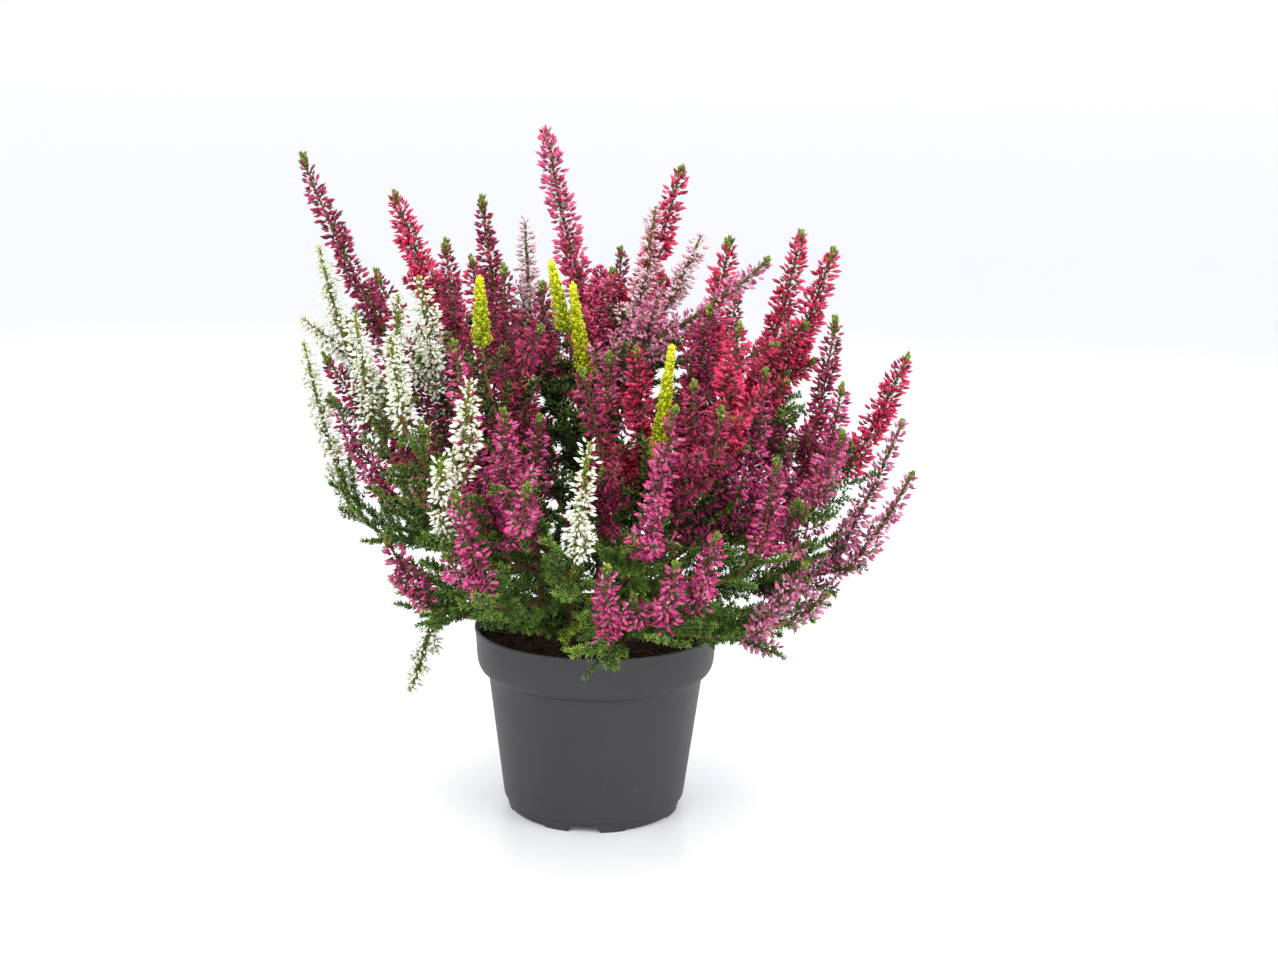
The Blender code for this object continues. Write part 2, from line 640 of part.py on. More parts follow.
def make_soil():
    """Peat that fills the pot, with a lumpy top and a plain hole under each plant."""
    outline = [
        (0, FLOOR_TOP + PIECE_GAP),
        (BODY_FOOT[0] - BODY_WALL - SOIL_GAP, FLOOR_TOP + PIECE_GAP),
        (BODY_TOP[0] - BODY_WALL - SOIL_GAP, BODY_TOP[1] + SOIL_GAP),
        (COLLAR_FOOT[0] - COLLAR_WALL - SOIL_GAP - 0.1, COLLAR_FOOT[1] + SOIL_GAP + 0.2),
        *((radius, SOIL_TOP + SOIL_MOUND * (1 - radius / RIM_RADIUS)) for radius in SOIL_RINGS),
        (0, SOIL_TOP + SOIL_MOUND),
    ]
    points, faces = turned(outline)
    lumps = np.random.default_rng(SOIL_SEED).uniform(-SOIL_LUMP, SOIL_LUMP, len(points))
    on_top = (points[:, 2] > SOIL_TOP - 1) & (np.arange(len(points)) < len(points) - 2)
    points[:, 2] += np.where(on_top, lumps, 0)
    soil = solid("soil", points, in_triangles(faces), finish("peat", SOIL_COLOUR, 0.95))
    for plant in range(OUTER_PLANTS + 1):
        corners = circle_of(root_of(plant), HOLE_RADIUS, 6)
        shape = prism(corners, SOIL_TOP - HOLE_DEPTH, RIM_HEIGHT)
        cut(soil, cutter(f"hole_cutter_{plant}", *shape))
    apply_modifiers(soil)


def make_sprays(sprays):
    """A solid for each spray, with the shorter sprays that fork from its stem."""
    finishes = {kind: finish(kind + " buds", values[0], 0.6) for kind, values in KINDS.items()}
    for node in SPRAYS:
        members = [s for s in sprays if s.node == node]
        fuse(node, [spike_shape(s) for s in members], finishes[members[0].kind])


def make_leafy_stems(sprays, stems):
    """A solid for each plant's woody stems, with their leafy side shoots."""
    green = finish("leafy stems", LEAF_COLOUR, 0.65)
    shoots = shoots_of(sprays, stems)
    for plant in range(OUTER_PLANTS + 1):
        members = [s for s in sprays if s.plant == plant and s.first is None]
        leader = leader_of(members)
        order = [leader] + [s for s in members if s is not leader]
        shapes = [stem_shape(stems[id(s)], s is leader) for s in order]
        shapes += [shoot_shape(curve) for curve in shoots[plant]]
        fuse(f"leafy_stems_{plant}", shapes, green)


def clear_scene():
    for thing in list(bpy.data.objects):
        bpy.data.objects.remove(thing)


def main():
    clear_scene()
    make_pot()
    make_soil()
    sprays = read_sprays()
    share_out(sprays)
    make_sprays(sprays)
    make_leafy_stems(sprays, all_stems(sprays))
    for thing in [thing for thing in bpy.data.objects if thing.hide_render]:
        bpy.data.objects.remove(thing)


main()
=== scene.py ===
"""The looks of the potted heather: its pot, peat, woody stems, needles and buds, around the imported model.

The studio and the materials measure in metres. All else is in millimetres, and MM turns it into metres where
a mesh is made. A colour given to linear() is one of the screen, with parts of 0 to 255.
"""

import math

import bpy
import numpy as np
from mathutils import Matrix, Vector


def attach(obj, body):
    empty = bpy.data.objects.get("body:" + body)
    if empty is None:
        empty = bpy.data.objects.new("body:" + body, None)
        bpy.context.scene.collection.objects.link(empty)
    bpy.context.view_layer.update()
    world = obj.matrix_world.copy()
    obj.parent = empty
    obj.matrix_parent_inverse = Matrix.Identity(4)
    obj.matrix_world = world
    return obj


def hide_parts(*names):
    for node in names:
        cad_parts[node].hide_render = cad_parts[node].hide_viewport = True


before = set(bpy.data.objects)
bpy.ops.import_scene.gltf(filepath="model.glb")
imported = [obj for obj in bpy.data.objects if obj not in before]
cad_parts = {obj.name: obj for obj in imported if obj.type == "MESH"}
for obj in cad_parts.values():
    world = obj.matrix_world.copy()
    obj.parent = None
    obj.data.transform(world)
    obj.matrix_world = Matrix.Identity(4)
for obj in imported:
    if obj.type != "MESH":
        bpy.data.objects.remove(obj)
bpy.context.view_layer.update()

# The studio: a white sweep that rises all round into a wall and glows, a painted glow faint on the floor
# and strongest up the wall, a camera at the height of the sprays, and large soft lamps overhead and in front.
MM = 0.001
TURN = 2 * math.pi
UP = np.array([0.0, 0.0, 1.0])


class Reading:
    """A socket of a material. Sums with it add Math nodes, and add() makes any other node."""

    def __init__(self, tree, socket=None):
        self.tree, self.socket = tree, socket

    def add(self, kind, settings=None, values=None, output=0):
        """A node of this type with these settings and inputs. A ramp's stops pair a place and a colour."""
        node = self.tree.nodes.new(kind)
        for name, value in (settings or {}).items():
            if name == "stops":
                ramp = node.color_ramp
                while len(ramp.elements) < len(value):
                    ramp.elements.new(1.0)
                for stop, (place, colour) in zip(ramp.elements, value):
                    stop.position, stop.color = place, colour
            else:
                setattr(node, name, value)
        for name, value in (values or {}).items():
            if isinstance(value, Reading):
                self.tree.links.new(value.socket, node.inputs[name])
            else:
                node.inputs[name].default_value = value
        return Reading(self.tree, node.outputs[output])

    def math(self, operation, first, second=0.0):
        """A Math node: this operation on two readings or numbers."""
        return self.add("ShaderNodeMath", {"operation": operation}, {0: first, 1: second})

    def __add__(self, other):
        return self.math("ADD", self, other)

    def __radd__(self, other):
        return self.math("ADD", other, self)

    def __sub__(self, other):
        return self.math("SUBTRACT", self, other)

    def __rsub__(self, other):
        return self.math("SUBTRACT", other, self)

    def __mul__(self, other):
        return self.math("MULTIPLY", self, other)

    def __rmul__(self, other):
        return self.math("MULTIPLY", other, self)

    def noise(self, where, scale, detail=3.0, roughness=0.55):
        """Soft noise between 0 and 1 at this many waves a unit."""
        values = {"Vector": where, "Scale": scale, "Detail": detail, "Roughness": roughness}
        return self.add("ShaderNodeTexNoise", {}, values)

    def step(self, value, low, high):
        """0 below low, 1 above high and smooth between."""
        values = {"Value": value, "From Min": low, "From Max": high}
        return self.add("ShaderNodeMapRange", {"interpolation_type": "SMOOTHSTEP"}, values)

    def mix(self, share, first, second, blend="MIX"):
        """One colour turning into another as share goes from 0 to 1."""
        settings = {"data_type": "RGBA", "blend_type": blend}
        return self.add("ShaderNodeMix", settings, {0: share, 6: first, 7: second}, 2)

    def bump(self, height, depth):
        """A relief of this depth in metres where height goes from 0 to 1."""
        return self.add("ShaderNodeBump", {}, {"Height": height, "Distance": depth, "Strength": 1.0})


def linear(*colour):
    """A colour of the screen, 0 to 255, as light: the power of 2.2 of its share, and opaque."""
    return (*((part / 255) ** 2.2 for part in colour), 1)


def finish(name, roughness, **shine):
    """A new material, with its shader's plain values set, and a reading to start its nodes from."""
    material = bpy.data.materials.new(name)
    material.use_nodes = True
    shader = material.node_tree.nodes["Principled BSDF"]
    shader.inputs["Roughness"].default_value = roughness
    for socket, value in shine.items():
        shader.inputs[socket.replace("_", " ")].default_value = value
    return material, Reading(material.node_tree)


def wire(material, **sockets):
    """Links readings to the shader's sockets of these names."""
    shader = material.node_tree.nodes["Principled BSDF"]
    for name, reading in sockets.items():
        material.node_tree.links.new(reading.socket, shader.inputs[name.replace("_", " ")])


def grid_faces(rows, columns):
    """Four-sided faces between the rows of a grid whose last column meets its first."""
    row, column = np.meshgrid(np.arange(rows - 1), np.arange(columns), indexing="ij")
    start, after = row * columns + column, row * columns + (column + 1) % columns
    return np.stack([start, after, after + columns, start + columns], axis=2).reshape(-1, 4)


def as_mesh(name, points, faces, *materials, corners=None, sorts=None):
    """An object from points in metres and faces of one size, with the place on the pattern of each corner."""
    mesh = bpy.data.meshes.new(name)
    count, size = faces.shape
    mesh.vertices.add(len(points))
    mesh.vertices.foreach_set("co", np.ascontiguousarray(points, np.float32).ravel())
    mesh.loops.add(count * size)
    mesh.loops.foreach_set("vertex_index", np.ascontiguousarray(faces, np.int32).ravel())
    mesh.polygons.add(count)
    mesh.polygons.foreach_set("loop_start", np.arange(0, count * size, size, dtype=np.int32))
    for material in materials:
        mesh.materials.append(material)
    if sorts is not None:
        mesh.polygons.foreach_set("material_index", sorts.astype(np.int32))
    mesh.update(calc_edges=True)
    mesh.shade_smooth()
    if corners is not None:
        layer = mesh.uv_layers.new(name="growth")
        layer.uv.foreach_set("vector", np.ascontiguousarray(corners, np.float32).ravel())
    made = bpy.data.objects.new(name, mesh)
    bpy.context.scene.collection.objects.link(made)
    return made


SWEEP_RADIUS, SWEEP_BEND, SWEEP_HEIGHT, SWEEP_SIDES = 2.6, 1.6, 3.6, 96
FLOOR_RINGS, DISC_RADIUS, FULL_GLOW_HEIGHT = (0.02, 0.2, 0.6, 1.4), 0.021, 1.9
CAMERA_PLACE = (0.0, -0.7804, 0.3143)
CAMERA_PITCH, CAMERA_YAW, CAMERA_ROLL = math.radians(10.838), math.radians(1.4526), math.radians(1.0953)
CAMERA_SENSOR, CAMERA_LENS = 36.0, 46.0
bend = np.linspace(0, TURN / 4, 14)
sweep_profile = np.concatenate(
    [
        [[radius, 0] for radius in FLOOR_RINGS],
        np.stack([SWEEP_RADIUS + SWEEP_BEND * np.sin(bend), SWEEP_BEND * (1 - np.cos(bend))], axis=1),
        [[SWEEP_RADIUS + SWEEP_BEND, SWEEP_HEIGHT]],
    ]
)
sweep_turns = TURN * np.arange(SWEEP_SIDES) / SWEEP_SIDES
circle = np.stack([np.cos(sweep_turns), np.sin(sweep_turns)], axis=1)
sweep_points = np.concatenate(
    [np.c_[circle * radius, np.full(len(circle), height)] for radius, height in sweep_profile]
)
paper, reading = finish(
    "white sweep",
    0.32,
    Base_Color=(0.74, 0.745, 0.757, 1),
    Specular_IOR_Level=0.25,
    Emission_Strength=0.775,
)
# The glow: emission that is faint on the floor and grows up the wall to full strength, a painted glow that
# keeps the wall white.
paper_place = reading.add("ShaderNodeTexCoord", output=3)
painted_glow_rise = reading.step(reading.add("ShaderNodeSeparateXYZ", {}, {0: paper_place}, 2), 0.0, FULL_GLOW_HEIGHT)
wire(paper, Emission_Color=reading.mix(painted_glow_rise, (0.08, 0.08, 0.086, 1), (1.0, 1.0, 1.0, 1)))
sweep = as_mesh("studio_sweep", sweep_points, grid_faces(len(sweep_profile), SWEEP_SIDES), paper)
# The middle of the floor, which the sweep leaves open.
disc_points = np.c_[circle * DISC_RADIUS, np.zeros(SWEEP_SIDES)]
disc = as_mesh("studio_floor", disc_points, np.arange(SWEEP_SIDES)[None], paper)

camera = bpy.data.objects.new("camera", bpy.data.cameras.new("camera"))
bpy.context.scene.collection.objects.link(camera)
camera.data.sensor_width, camera.data.lens = CAMERA_SENSOR, CAMERA_LENS
camera.matrix_world = (
    Matrix.Translation(CAMERA_PLACE)
    @ Matrix.Rotation(-CAMERA_YAW, 4, "Z")
    @ Matrix.Rotation(TURN / 4 - CAMERA_PITCH, 4, "X")
    @ Matrix.Rotation(CAMERA_ROLL, 4, "Z")
)
bpy.context.scene.camera = camera
bpy.context.scene.view_settings.view_transform = "Standard"

world = bpy.data.worlds.new("studio")
bpy.context.scene.world = world
world.use_nodes = True
world.node_tree.nodes["Background"].inputs["Color"].default_value = (0.95, 0.97, 1.0, 1)
world.node_tree.nodes["Background"].inputs["Strength"].default_value = 0.42
# Each lamp: where it hangs, its size and its power. All point at the middle of the plant.
LAMPS = {
    "lamp_left": ((-1.2, -1.4, 1.7), (1.5, 1.5), 32),
    "lamp_right": ((1.5, -1.1, 1.3), (1.2, 1.6), 27),
    "lamp_top": ((0.0, 0.1, 2.3), (2.0, 2.0), 39),
}
LAMP_AIM = Vector((0, 0, 0.15))
for lamp_name, (place, size, power) in LAMPS.items():
    lamp = bpy.data.objects.new(lamp_name, bpy.data.lights.new(lamp_name, "AREA"))
    lamp.data.shape, lamp.data.size, lamp.data.size_y = "RECTANGLE", *size
    lamp.data.energy = power
    lamp.location = place
    lamp.rotation_euler = (LAMP_AIM - Vector(place)).to_track_quat("-Z", "Y").to_euler()
    bpy.context.scene.collection.objects.link(lamp)

# The pot: one thin moulding of dark grey plastic, with a collar, a step under it, and a base band
# with four notches, a low foot on each side of each, and drain holes in its floor.
RIM_RADIUS, RIM_HEIGHT = 60.0, 92.0
FLOOR_UNDERSIDE, FLOOR_TOP, PAD_RADIUS = 3.2, 4.6, 12.0
NOTCHES, NOTCH_TURN, NOTCH_TOP, NOTCH_FOOT, NOTCH_HEIGHT = 4, math.radians(-96), 12.0, 16.0, 2.9
FOOT_WIDTH, FOOT_LIFT, BAND_RADIUS, BAND_INSIDE = 12.0, 0.8, 42.8, 41.2
FOOT_END, LIFT_RUN, POT_SIDES = NOTCH_FOOT / 2 + FOOT_WIDTH, 0.8, 128
DRAIN_RADIUS, DRAIN_REACH, DRILL_SIDES, DRILL_LOW, DRILL_HIGH = 4.0, 28, 32, 1.0, 7.0
# Outside from the foot of the base band to the lip, then down inside: radius and height of each corner,
# and how far the corner is rounded.
POT_OUTLINE = [
    (42.75, 0.0, 0.25),
    (43.55, 4.7, 0.4),
    (44.55, 5.5, 0.5),
    (45.0, 6.2, 0.4),
    (52.9, 67.2, 0.3),
    (53.35, 67.7, 0.3),
    (53.7, 69.3, 1.0),
    (57.0, 71.2, 2.4),
    (58.5, 75.0, 2.6),
    (59.45, 89.6, 0.6),
    (60.0, 90.3, 0.5),
    (59.95, 91.6, 0.5),
    (59.5, 92.0, 0.25),
    (58.9, 91.8, 0.3),
    (58.3, 91.0, 0.4),
    (57.5, 75.2, 1.5),
    (52.2, 69.2, 1.0),
    (43.8, 4.6, 1.0),
]


def rounded(corners, steps=3):
    """An open line through corners of (radius, height, rounding), each corner cut by a short smooth bend.

    A bend is the curve of three points: the corner, and a point as far before and after it as the rounding.
    """
    corners = np.array(corners)
    places, cuts = corners[:, :2], corners[:, 2]
    line = [places[:1]]
    t = np.linspace(0, 1, steps)[:, None]
    for before, place, after, cut in zip(places[:-2], places[1:-1], places[2:], cuts[1:-1]):
        to_before, to_after = before - place, after - place
        near = place + to_before * min(0.48, cut / np.linalg.norm(to_before))
        far = place + to_after * min(0.48, cut / np.linalg.norm(to_after))
        line.append((1 - t) ** 2 * near + 2 * t * (1 - t) * place + t**2 * far)
    return np.concatenate([*line, places[-1:]])


def foot_height(turns):
    """How high the band's edge stands: 0 on a foot, the notch's height in a notch, and the lift elsewhere."""
    spot = (turns - NOTCH_TURN + TURN / NOTCHES / 2) % (TURN / NOTCHES) - TURN / NOTCHES / 2
    across = np.abs(spot) * BAND_RADIUS
    notch = np.interp(across, [NOTCH_TOP / 2, NOTCH_FOOT / 2], [NOTCH_HEIGHT, 0])
    return notch + np.interp(across, [FOOT_END, FOOT_END + LIFT_RUN], [0, FOOT_LIFT])


def closed_turned(profile, turns, bottom, top):
    """Rings of points about the axis, row by row, closed by one point on the axis at each end."""
    circle = np.stack([np.cos(turns), np.sin(turns)], axis=1)
    rings = np.concatenate([np.c_[circle * r, np.full(len(turns), z)] for r, z in profile])
    return np.concatenate([rings, [[0, 0, bottom], [0, 0, top]]])


def closed_faces(rows, columns):
    """The faces of closed_turned: the grid's, each in two triangles, and a fan at each end."""
    quads = grid_faces(rows, columns)
    step = np.arange(columns)
    after = (step + 1) % columns
    last = rows * columns
    top = (rows - 1) * columns
    return np.concatenate(
        [
            quads[:, [0, 1, 2]],
            quads[:, [0, 2, 3]],
            np.stack([np.full(columns, last), after, step], axis=1),
            np.stack([np.full(columns, last + 1), top + step, top + after], axis=1),
        ]
    )


# Even steps round the pot, with one more at each edge of the notches and feet. Those before the first notch
# are brought into the same turn, or the ring would double back there.
foot_edges = np.array([NOTCH_TOP / 2, NOTCH_FOOT / 2, FOOT_END, FOOT_END + LIFT_RUN]) / BAND_RADIUS
notch_middles = np.arange(NOTCHES)[:, None] * TURN / NOTCHES
edge_turns = notch_middles + np.concatenate([-foot_edges, foot_edges])
even_turns = TURN * np.arange(POT_SIDES) / POT_SIDES
pot_turns = NOTCH_TURN + np.sort(np.concatenate([even_turns, edge_turns.ravel()]) % TURN)
# The underside, from the pad in the middle to the inside of the base band.
base_line = [
    (PAD_RADIUS, 0.0),
    (PAD_RADIUS + 1.5, FLOOR_UNDERSIDE),
    (BAND_INSIDE, FLOOR_UNDERSIDE),
    (BAND_INSIDE, 0.25),
    (BAND_INSIDE + 0.25, 0.0),
]
pot_line = np.concatenate([base_line, rounded(POT_OUTLINE)])
pot_points = closed_turned(pot_line, pot_turns, 0.0, FLOOR_TOP)
# The lower edge of the band follows the notches and feet.
lowest = np.repeat((pot_line[:, 1] < 0.3) & (pot_line[:, 0] > 40), len(pot_turns))
raised = np.tile(foot_height(pot_turns), len(pot_line))
rows_of_pot = len(pot_line) * len(pot_turns)
pot_points[:rows_of_pot, 2] += np.where(lowest, raised, 0)
plastic, reading = finish("dark grey pot plastic", 0.5, Specular_IOR_Level=0.34)
pot_place = reading.add("ShaderNodeTexCoord", output=3)
grain = reading.noise(pot_place, 2600.0, 2.0)
cloud = reading.noise(pot_place, 22.0, 4.0)
scuff = reading.step(reading.noise(pot_place, 160.0, 5.0, 0.7), 0.60, 0.78)
pot_height = reading.add("ShaderNodeSeparateXYZ", {}, {0: pot_place}, 2)
pot_side = reading.add("ShaderNodeSeparateXYZ", {}, {0: pot_place}, 0)
by_rim = reading.step(pot_height, 0.078, 0.091)
algae_patch = reading.step(reading.noise(pot_place, 95.0, 5.0, 0.65), 0.55, 0.74)
algae = algae_patch * by_rim * reading.step(pot_side, -0.01, 0.05)
plastic_colour = reading.mix(cloud, linear(50, 48, 51), linear(59, 57, 60))
plastic_colour = reading.mix(scuff * 0.25, plastic_colour, linear(92, 90, 89))
plastic_colour = reading.mix(algae * 0.5, plastic_colour, linear(92, 98, 62))
wire(
    plastic,
    Base_Color=plastic_colour,
    Roughness=0.44 + 0.14 * cloud + 0.12 * scuff,
    Normal=reading.bump(grain, 0.00003),
)
pot = as_mesh("nursery_pot", pot_points * MM, closed_faces(len(pot_line), len(pot_turns)), plastic)
# A drain hole half way between each two notches.
drill_turns = TURN * np.arange(DRILL_SIDES) / DRILL_SIDES
drill_line = [(DRAIN_RADIUS, DRILL_LOW), (DRAIN_RADIUS, DRILL_HIGH)]
for number in range(NOTCHES):
    turn = NOTCH_TURN + TURN * (number + 0.5) / NOTCHES
    drill_points = closed_turned(drill_line, drill_turns, DRILL_LOW, DRILL_HIGH)
    drill_points += [DRAIN_REACH * math.cos(turn), DRAIN_REACH * math.sin(turn), 0]
    drill = as_mesh("drill", drill_points * MM, closed_faces(2, DRILL_SIDES))
    drain = pot.modifiers.new("drain", "BOOLEAN")
    drain.operation, drain.object, drain.solver = "DIFFERENCE", drill, "EXACT"
    drilled = bpy.data.meshes.new_from_object(pot.evaluated_get(bpy.context.evaluated_depsgraph_get()))
    pot.modifiers.clear()
    pot.data = drilled
    bpy.data.objects.remove(drill)
pot.data.set_sharp_from_angle(angle=math.radians(40))
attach(pot, "root")
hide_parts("pot")

# The peat: loose dark crumbs with wood fibre, filled to a few millimetres under the rim. It is a body
# that fills the pot, with crumbs and fibres strewn on its top.
SOIL_TOP, SOIL_MOUND, PEAT_SIDES, INSIDE_COLLAR = 84.0, 1.6, 110, 56.5
PEAT_RELIEF, PEAT_LUMPS, LUMP_SEED, LUMP_WAVES = 1.1, [22, 11, 6, 3.5], 8, 6
CRUMBS, CRUMB_REACH, FIBRES, FIBRE_REACH, FIBRE_POINTS = 1100, 57.0, 110, 54.0, 5
peat_draw = np.random.default_rng(4)


def unit(vectors):
    """Each vector at length one."""
    return vectors / np.linalg.norm(vectors, axis=-1, keepdims=True)


def round_axis(reach, turns):
    """Places at these distances from the axis, at these turns about it."""
    return np.stack([reach * np.cos(turns), reach * np.sin(turns)], axis=1)


def lumps(places, sizes, seed):
    """A rough height between -1 and 1: waves in many random directions, weaker as they get shorter."""
    draw = np.random.default_rng(seed)
    height = 0
    for size in sizes:
        for _ in range(LUMP_WAVES):
            way = draw.normal(size=2)
            phase = draw.uniform(0, TURN)
            wave = np.sin(places @ way / np.linalg.norm(way) * TURN / size + phase)
            height = height + size / sizes[0] * wave
    return height / LUMP_WAVES


peat_radii = np.concatenate([np.linspace(57.3, 54, 3), np.linspace(52.5, 2, 27)])
peat_line = np.concatenate(
    [
        [[43.0, 4.9], [51.5, 69.3], [56.9, 75.6]],
        np.stack([peat_radii, SOIL_TOP + SOIL_MOUND * (1 - peat_radii / RIM_RADIUS)], axis=1),
    ]
)
peat_turns = TURN * np.arange(PEAT_SIDES) / PEAT_SIDES
peat_points = closed_turned(peat_line, peat_turns, 4.9, SOIL_TOP + SOIL_MOUND)
on_top = peat_points[:, 2] > SOIL_TOP - 2
peat_points[:, 2] += np.where(on_top, PEAT_RELIEF * lumps(peat_points[:, :2], PEAT_LUMPS, LUMP_SEED), 0)
peat_faces = closed_faces(len(peat_line), len(peat_turns))


def soil_height(places):
    """The height of the peat's top at these places."""
    reach = np.linalg.norm(places, axis=1)
    mound = SOIL_TOP + SOIL_MOUND * (1 - reach / RIM_RADIUS)
    return mound + PEAT_RELIEF * lumps(places, PEAT_LUMPS, LUMP_SEED)


CRUMB = np.array([[1, 0, 0], [0, 1, 0], [-1, 0, 0], [0, -1, 0], [0, 0, 0.9], [0, 0, -0.9]], float)
CRUMB_FACES = np.array(
    [[0, 1, 4], [1, 2, 4], [2, 3, 4], [3, 0, 4], [1, 0, 5], [2, 1, 5], [3, 2, 5], [0, 3, 5]]
)
crumb_reach = CRUMB_REACH * np.sqrt(peat_draw.uniform(0, 1, CRUMBS))
crumb_turn = peat_draw.uniform(0, TURN, CRUMBS)
crumb_place = round_axis(crumb_reach, crumb_turn)
crumb_size = 0.35 + 1.1 * peat_draw.uniform(0, 1, CRUMBS) ** 3
crumb_height = soil_height(crumb_place) + 0.2 * crumb_size
crumb_shape = CRUMB[None] * peat_draw.uniform(0.6, 1.35, (CRUMBS, len(CRUMB), 1)) * crumb_size[:, None, None]
crumb_shape *= peat_draw.uniform(0.6, 1.2, (CRUMBS, 1, 3))
crumb_spin = peat_draw.uniform(0, TURN, CRUMBS)
spin_cos, spin_sin = np.cos(crumb_spin)[:, None], np.sin(crumb_spin)[:, None]
crumb_turned = np.stack(
    [
        spin_cos * crumb_shape[..., 0] - spin_sin * crumb_shape[..., 1],
        spin_sin * crumb_shape[..., 0] + spin_cos * crumb_shape[..., 1],
        crumb_shape[..., 2],
    ],
    axis=2,
)
crumb_points = crumb_turned + np.c_[crumb_place, crumb_height][:, None]


def copies(faces, count, size):
    """The faces of many copies of a shape with size points."""
    return (faces[None] + size * np.arange(count)[:, None, None]).reshape(-1, 3)


# Turns round a path are measured from this way, which no path runs along.
ACROSS = np.array([0.31, 0.95, 0.05])


def tubes(paths, radii, sides):
    """Closed tubes along many paths of equally many points.

    paths is (tube, point, 3) and radii (tube, point). Each ring is square to its path, and a path's end
    rings close on a point.
    """
    count, length, _ = paths.shape
    forward = unit(np.gradient(paths, axis=1))
    guide = np.where(np.abs(forward[:, :1, 2:]) > 0.8, ACROSS, [0.1, 0.05, 1.0])
    side = unit(np.cross(forward, guide))
    turns = TURN * np.arange(sides) / sides
    across, over = side[:, :, None], np.cross(forward, side)[:, :, None]
    ring = np.cos(turns)[:, None] * across + np.sin(turns)[:, None] * over
    rings = paths[:, :, None] + radii[:, :, None, None] * ring
    points = np.concatenate([rings.reshape(count, -1, 3), paths[:, :1], paths[:, -1:]], axis=1)
    return points.reshape(-1, 3), copies(closed_faces(length, sides), count, length * sides + 2)


def joined(shapes):
    """Several shapes of points and faces as one."""
    starts = np.cumsum([0] + [len(points) for points, _ in shapes[:-1]])
    return np.concatenate([points for points, _ in shapes]), np.concatenate(
        [faces + start for (_, faces), start in zip(shapes, starts)]
    )


fibre_reach = FIBRE_REACH * np.sqrt(peat_draw.uniform(0, 1, FIBRES))
fibre_turn = peat_draw.uniform(0, TURN, FIBRES)
fibre_start = round_axis(fibre_reach, fibre_turn)
fibre_way = peat_draw.uniform(0, TURN, FIBRES)[:, None]
fibre_way = fibre_way + np.cumsum(peat_draw.normal(0, 0.35, (FIBRES, FIBRE_POINTS)), axis=1)
fibre_step = peat_draw.uniform(0.6, 2.0, (FIBRES, 1, 1))
fibre_run = np.cumsum(np.stack([np.cos(fibre_way), np.sin(fibre_way)], axis=2) * fibre_step, axis=1)
fibre_place = fibre_start[:, None] + fibre_run
too_far = np.maximum(1, np.linalg.norm(fibre_place, axis=2, keepdims=True) / INSIDE_COLLAR)
fibre_place = fibre_place / too_far
fibre_height = soil_height(fibre_place.reshape(-1, 2)).reshape(FIBRES, FIBRE_POINTS) + 0.35
fibre_radii = np.tile([[0.1, 0.28, 0.3, 0.24, 0.1]], (FIBRES, 1))
fibres = tubes(np.dstack([fibre_place, fibre_height]), fibre_radii, 4)

peat_skin, reading = finish("dark peat", 0.95, Specular_IOR_Level=0.2)
peat_place = reading.add("ShaderNodeTexCoord", output=3)
peat_fine = reading.noise(peat_place, 900.0, 4.0, 0.65)
peat_coarse = reading.noise(peat_place, 190.0, 3.0)
peat_colour = reading.mix(peat_coarse, linear(26, 17, 11), linear(66, 46, 31))
peat_colour = reading.mix(reading.step(peat_fine, 0.58, 0.75) * 0.6, peat_colour, linear(104, 76, 50))
wire(peat_skin, Base_Color=peat_colour, Normal=reading.bump(peat_fine, 0.0004))
fibre_skin, reading = finish("wood fibre", 0.8)
fibre_grain = reading.noise(reading.add("ShaderNodeTexCoord", output=3), 420.0)
wire(fibre_skin, Base_Color=reading.mix(fibre_grain, linear(70, 44, 27), linear(150, 108, 70)))
crumbs = (crumb_points.reshape(-1, 3), copies(CRUMB_FACES, CRUMBS, len(CRUMB)))
peat_shapes = [(peat_points, peat_faces), crumbs, fibres]
peat_all_points, peat_all_faces = joined(peat_shapes)
peat_sorts = np.repeat([0, 0, 1], [len(faces) for _, faces in peat_shapes])
peat = as_mesh("peat_filling", peat_all_points * MM, peat_all_faces, peat_skin, fibre_skin, sorts=peat_sorts)
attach(peat, "root")
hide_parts("soil")

# The plants: seven rooted cuttings of heather. Each spray of buds has its own stem, and the stems of a
# cutting fork from the one that rises from its root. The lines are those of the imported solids.

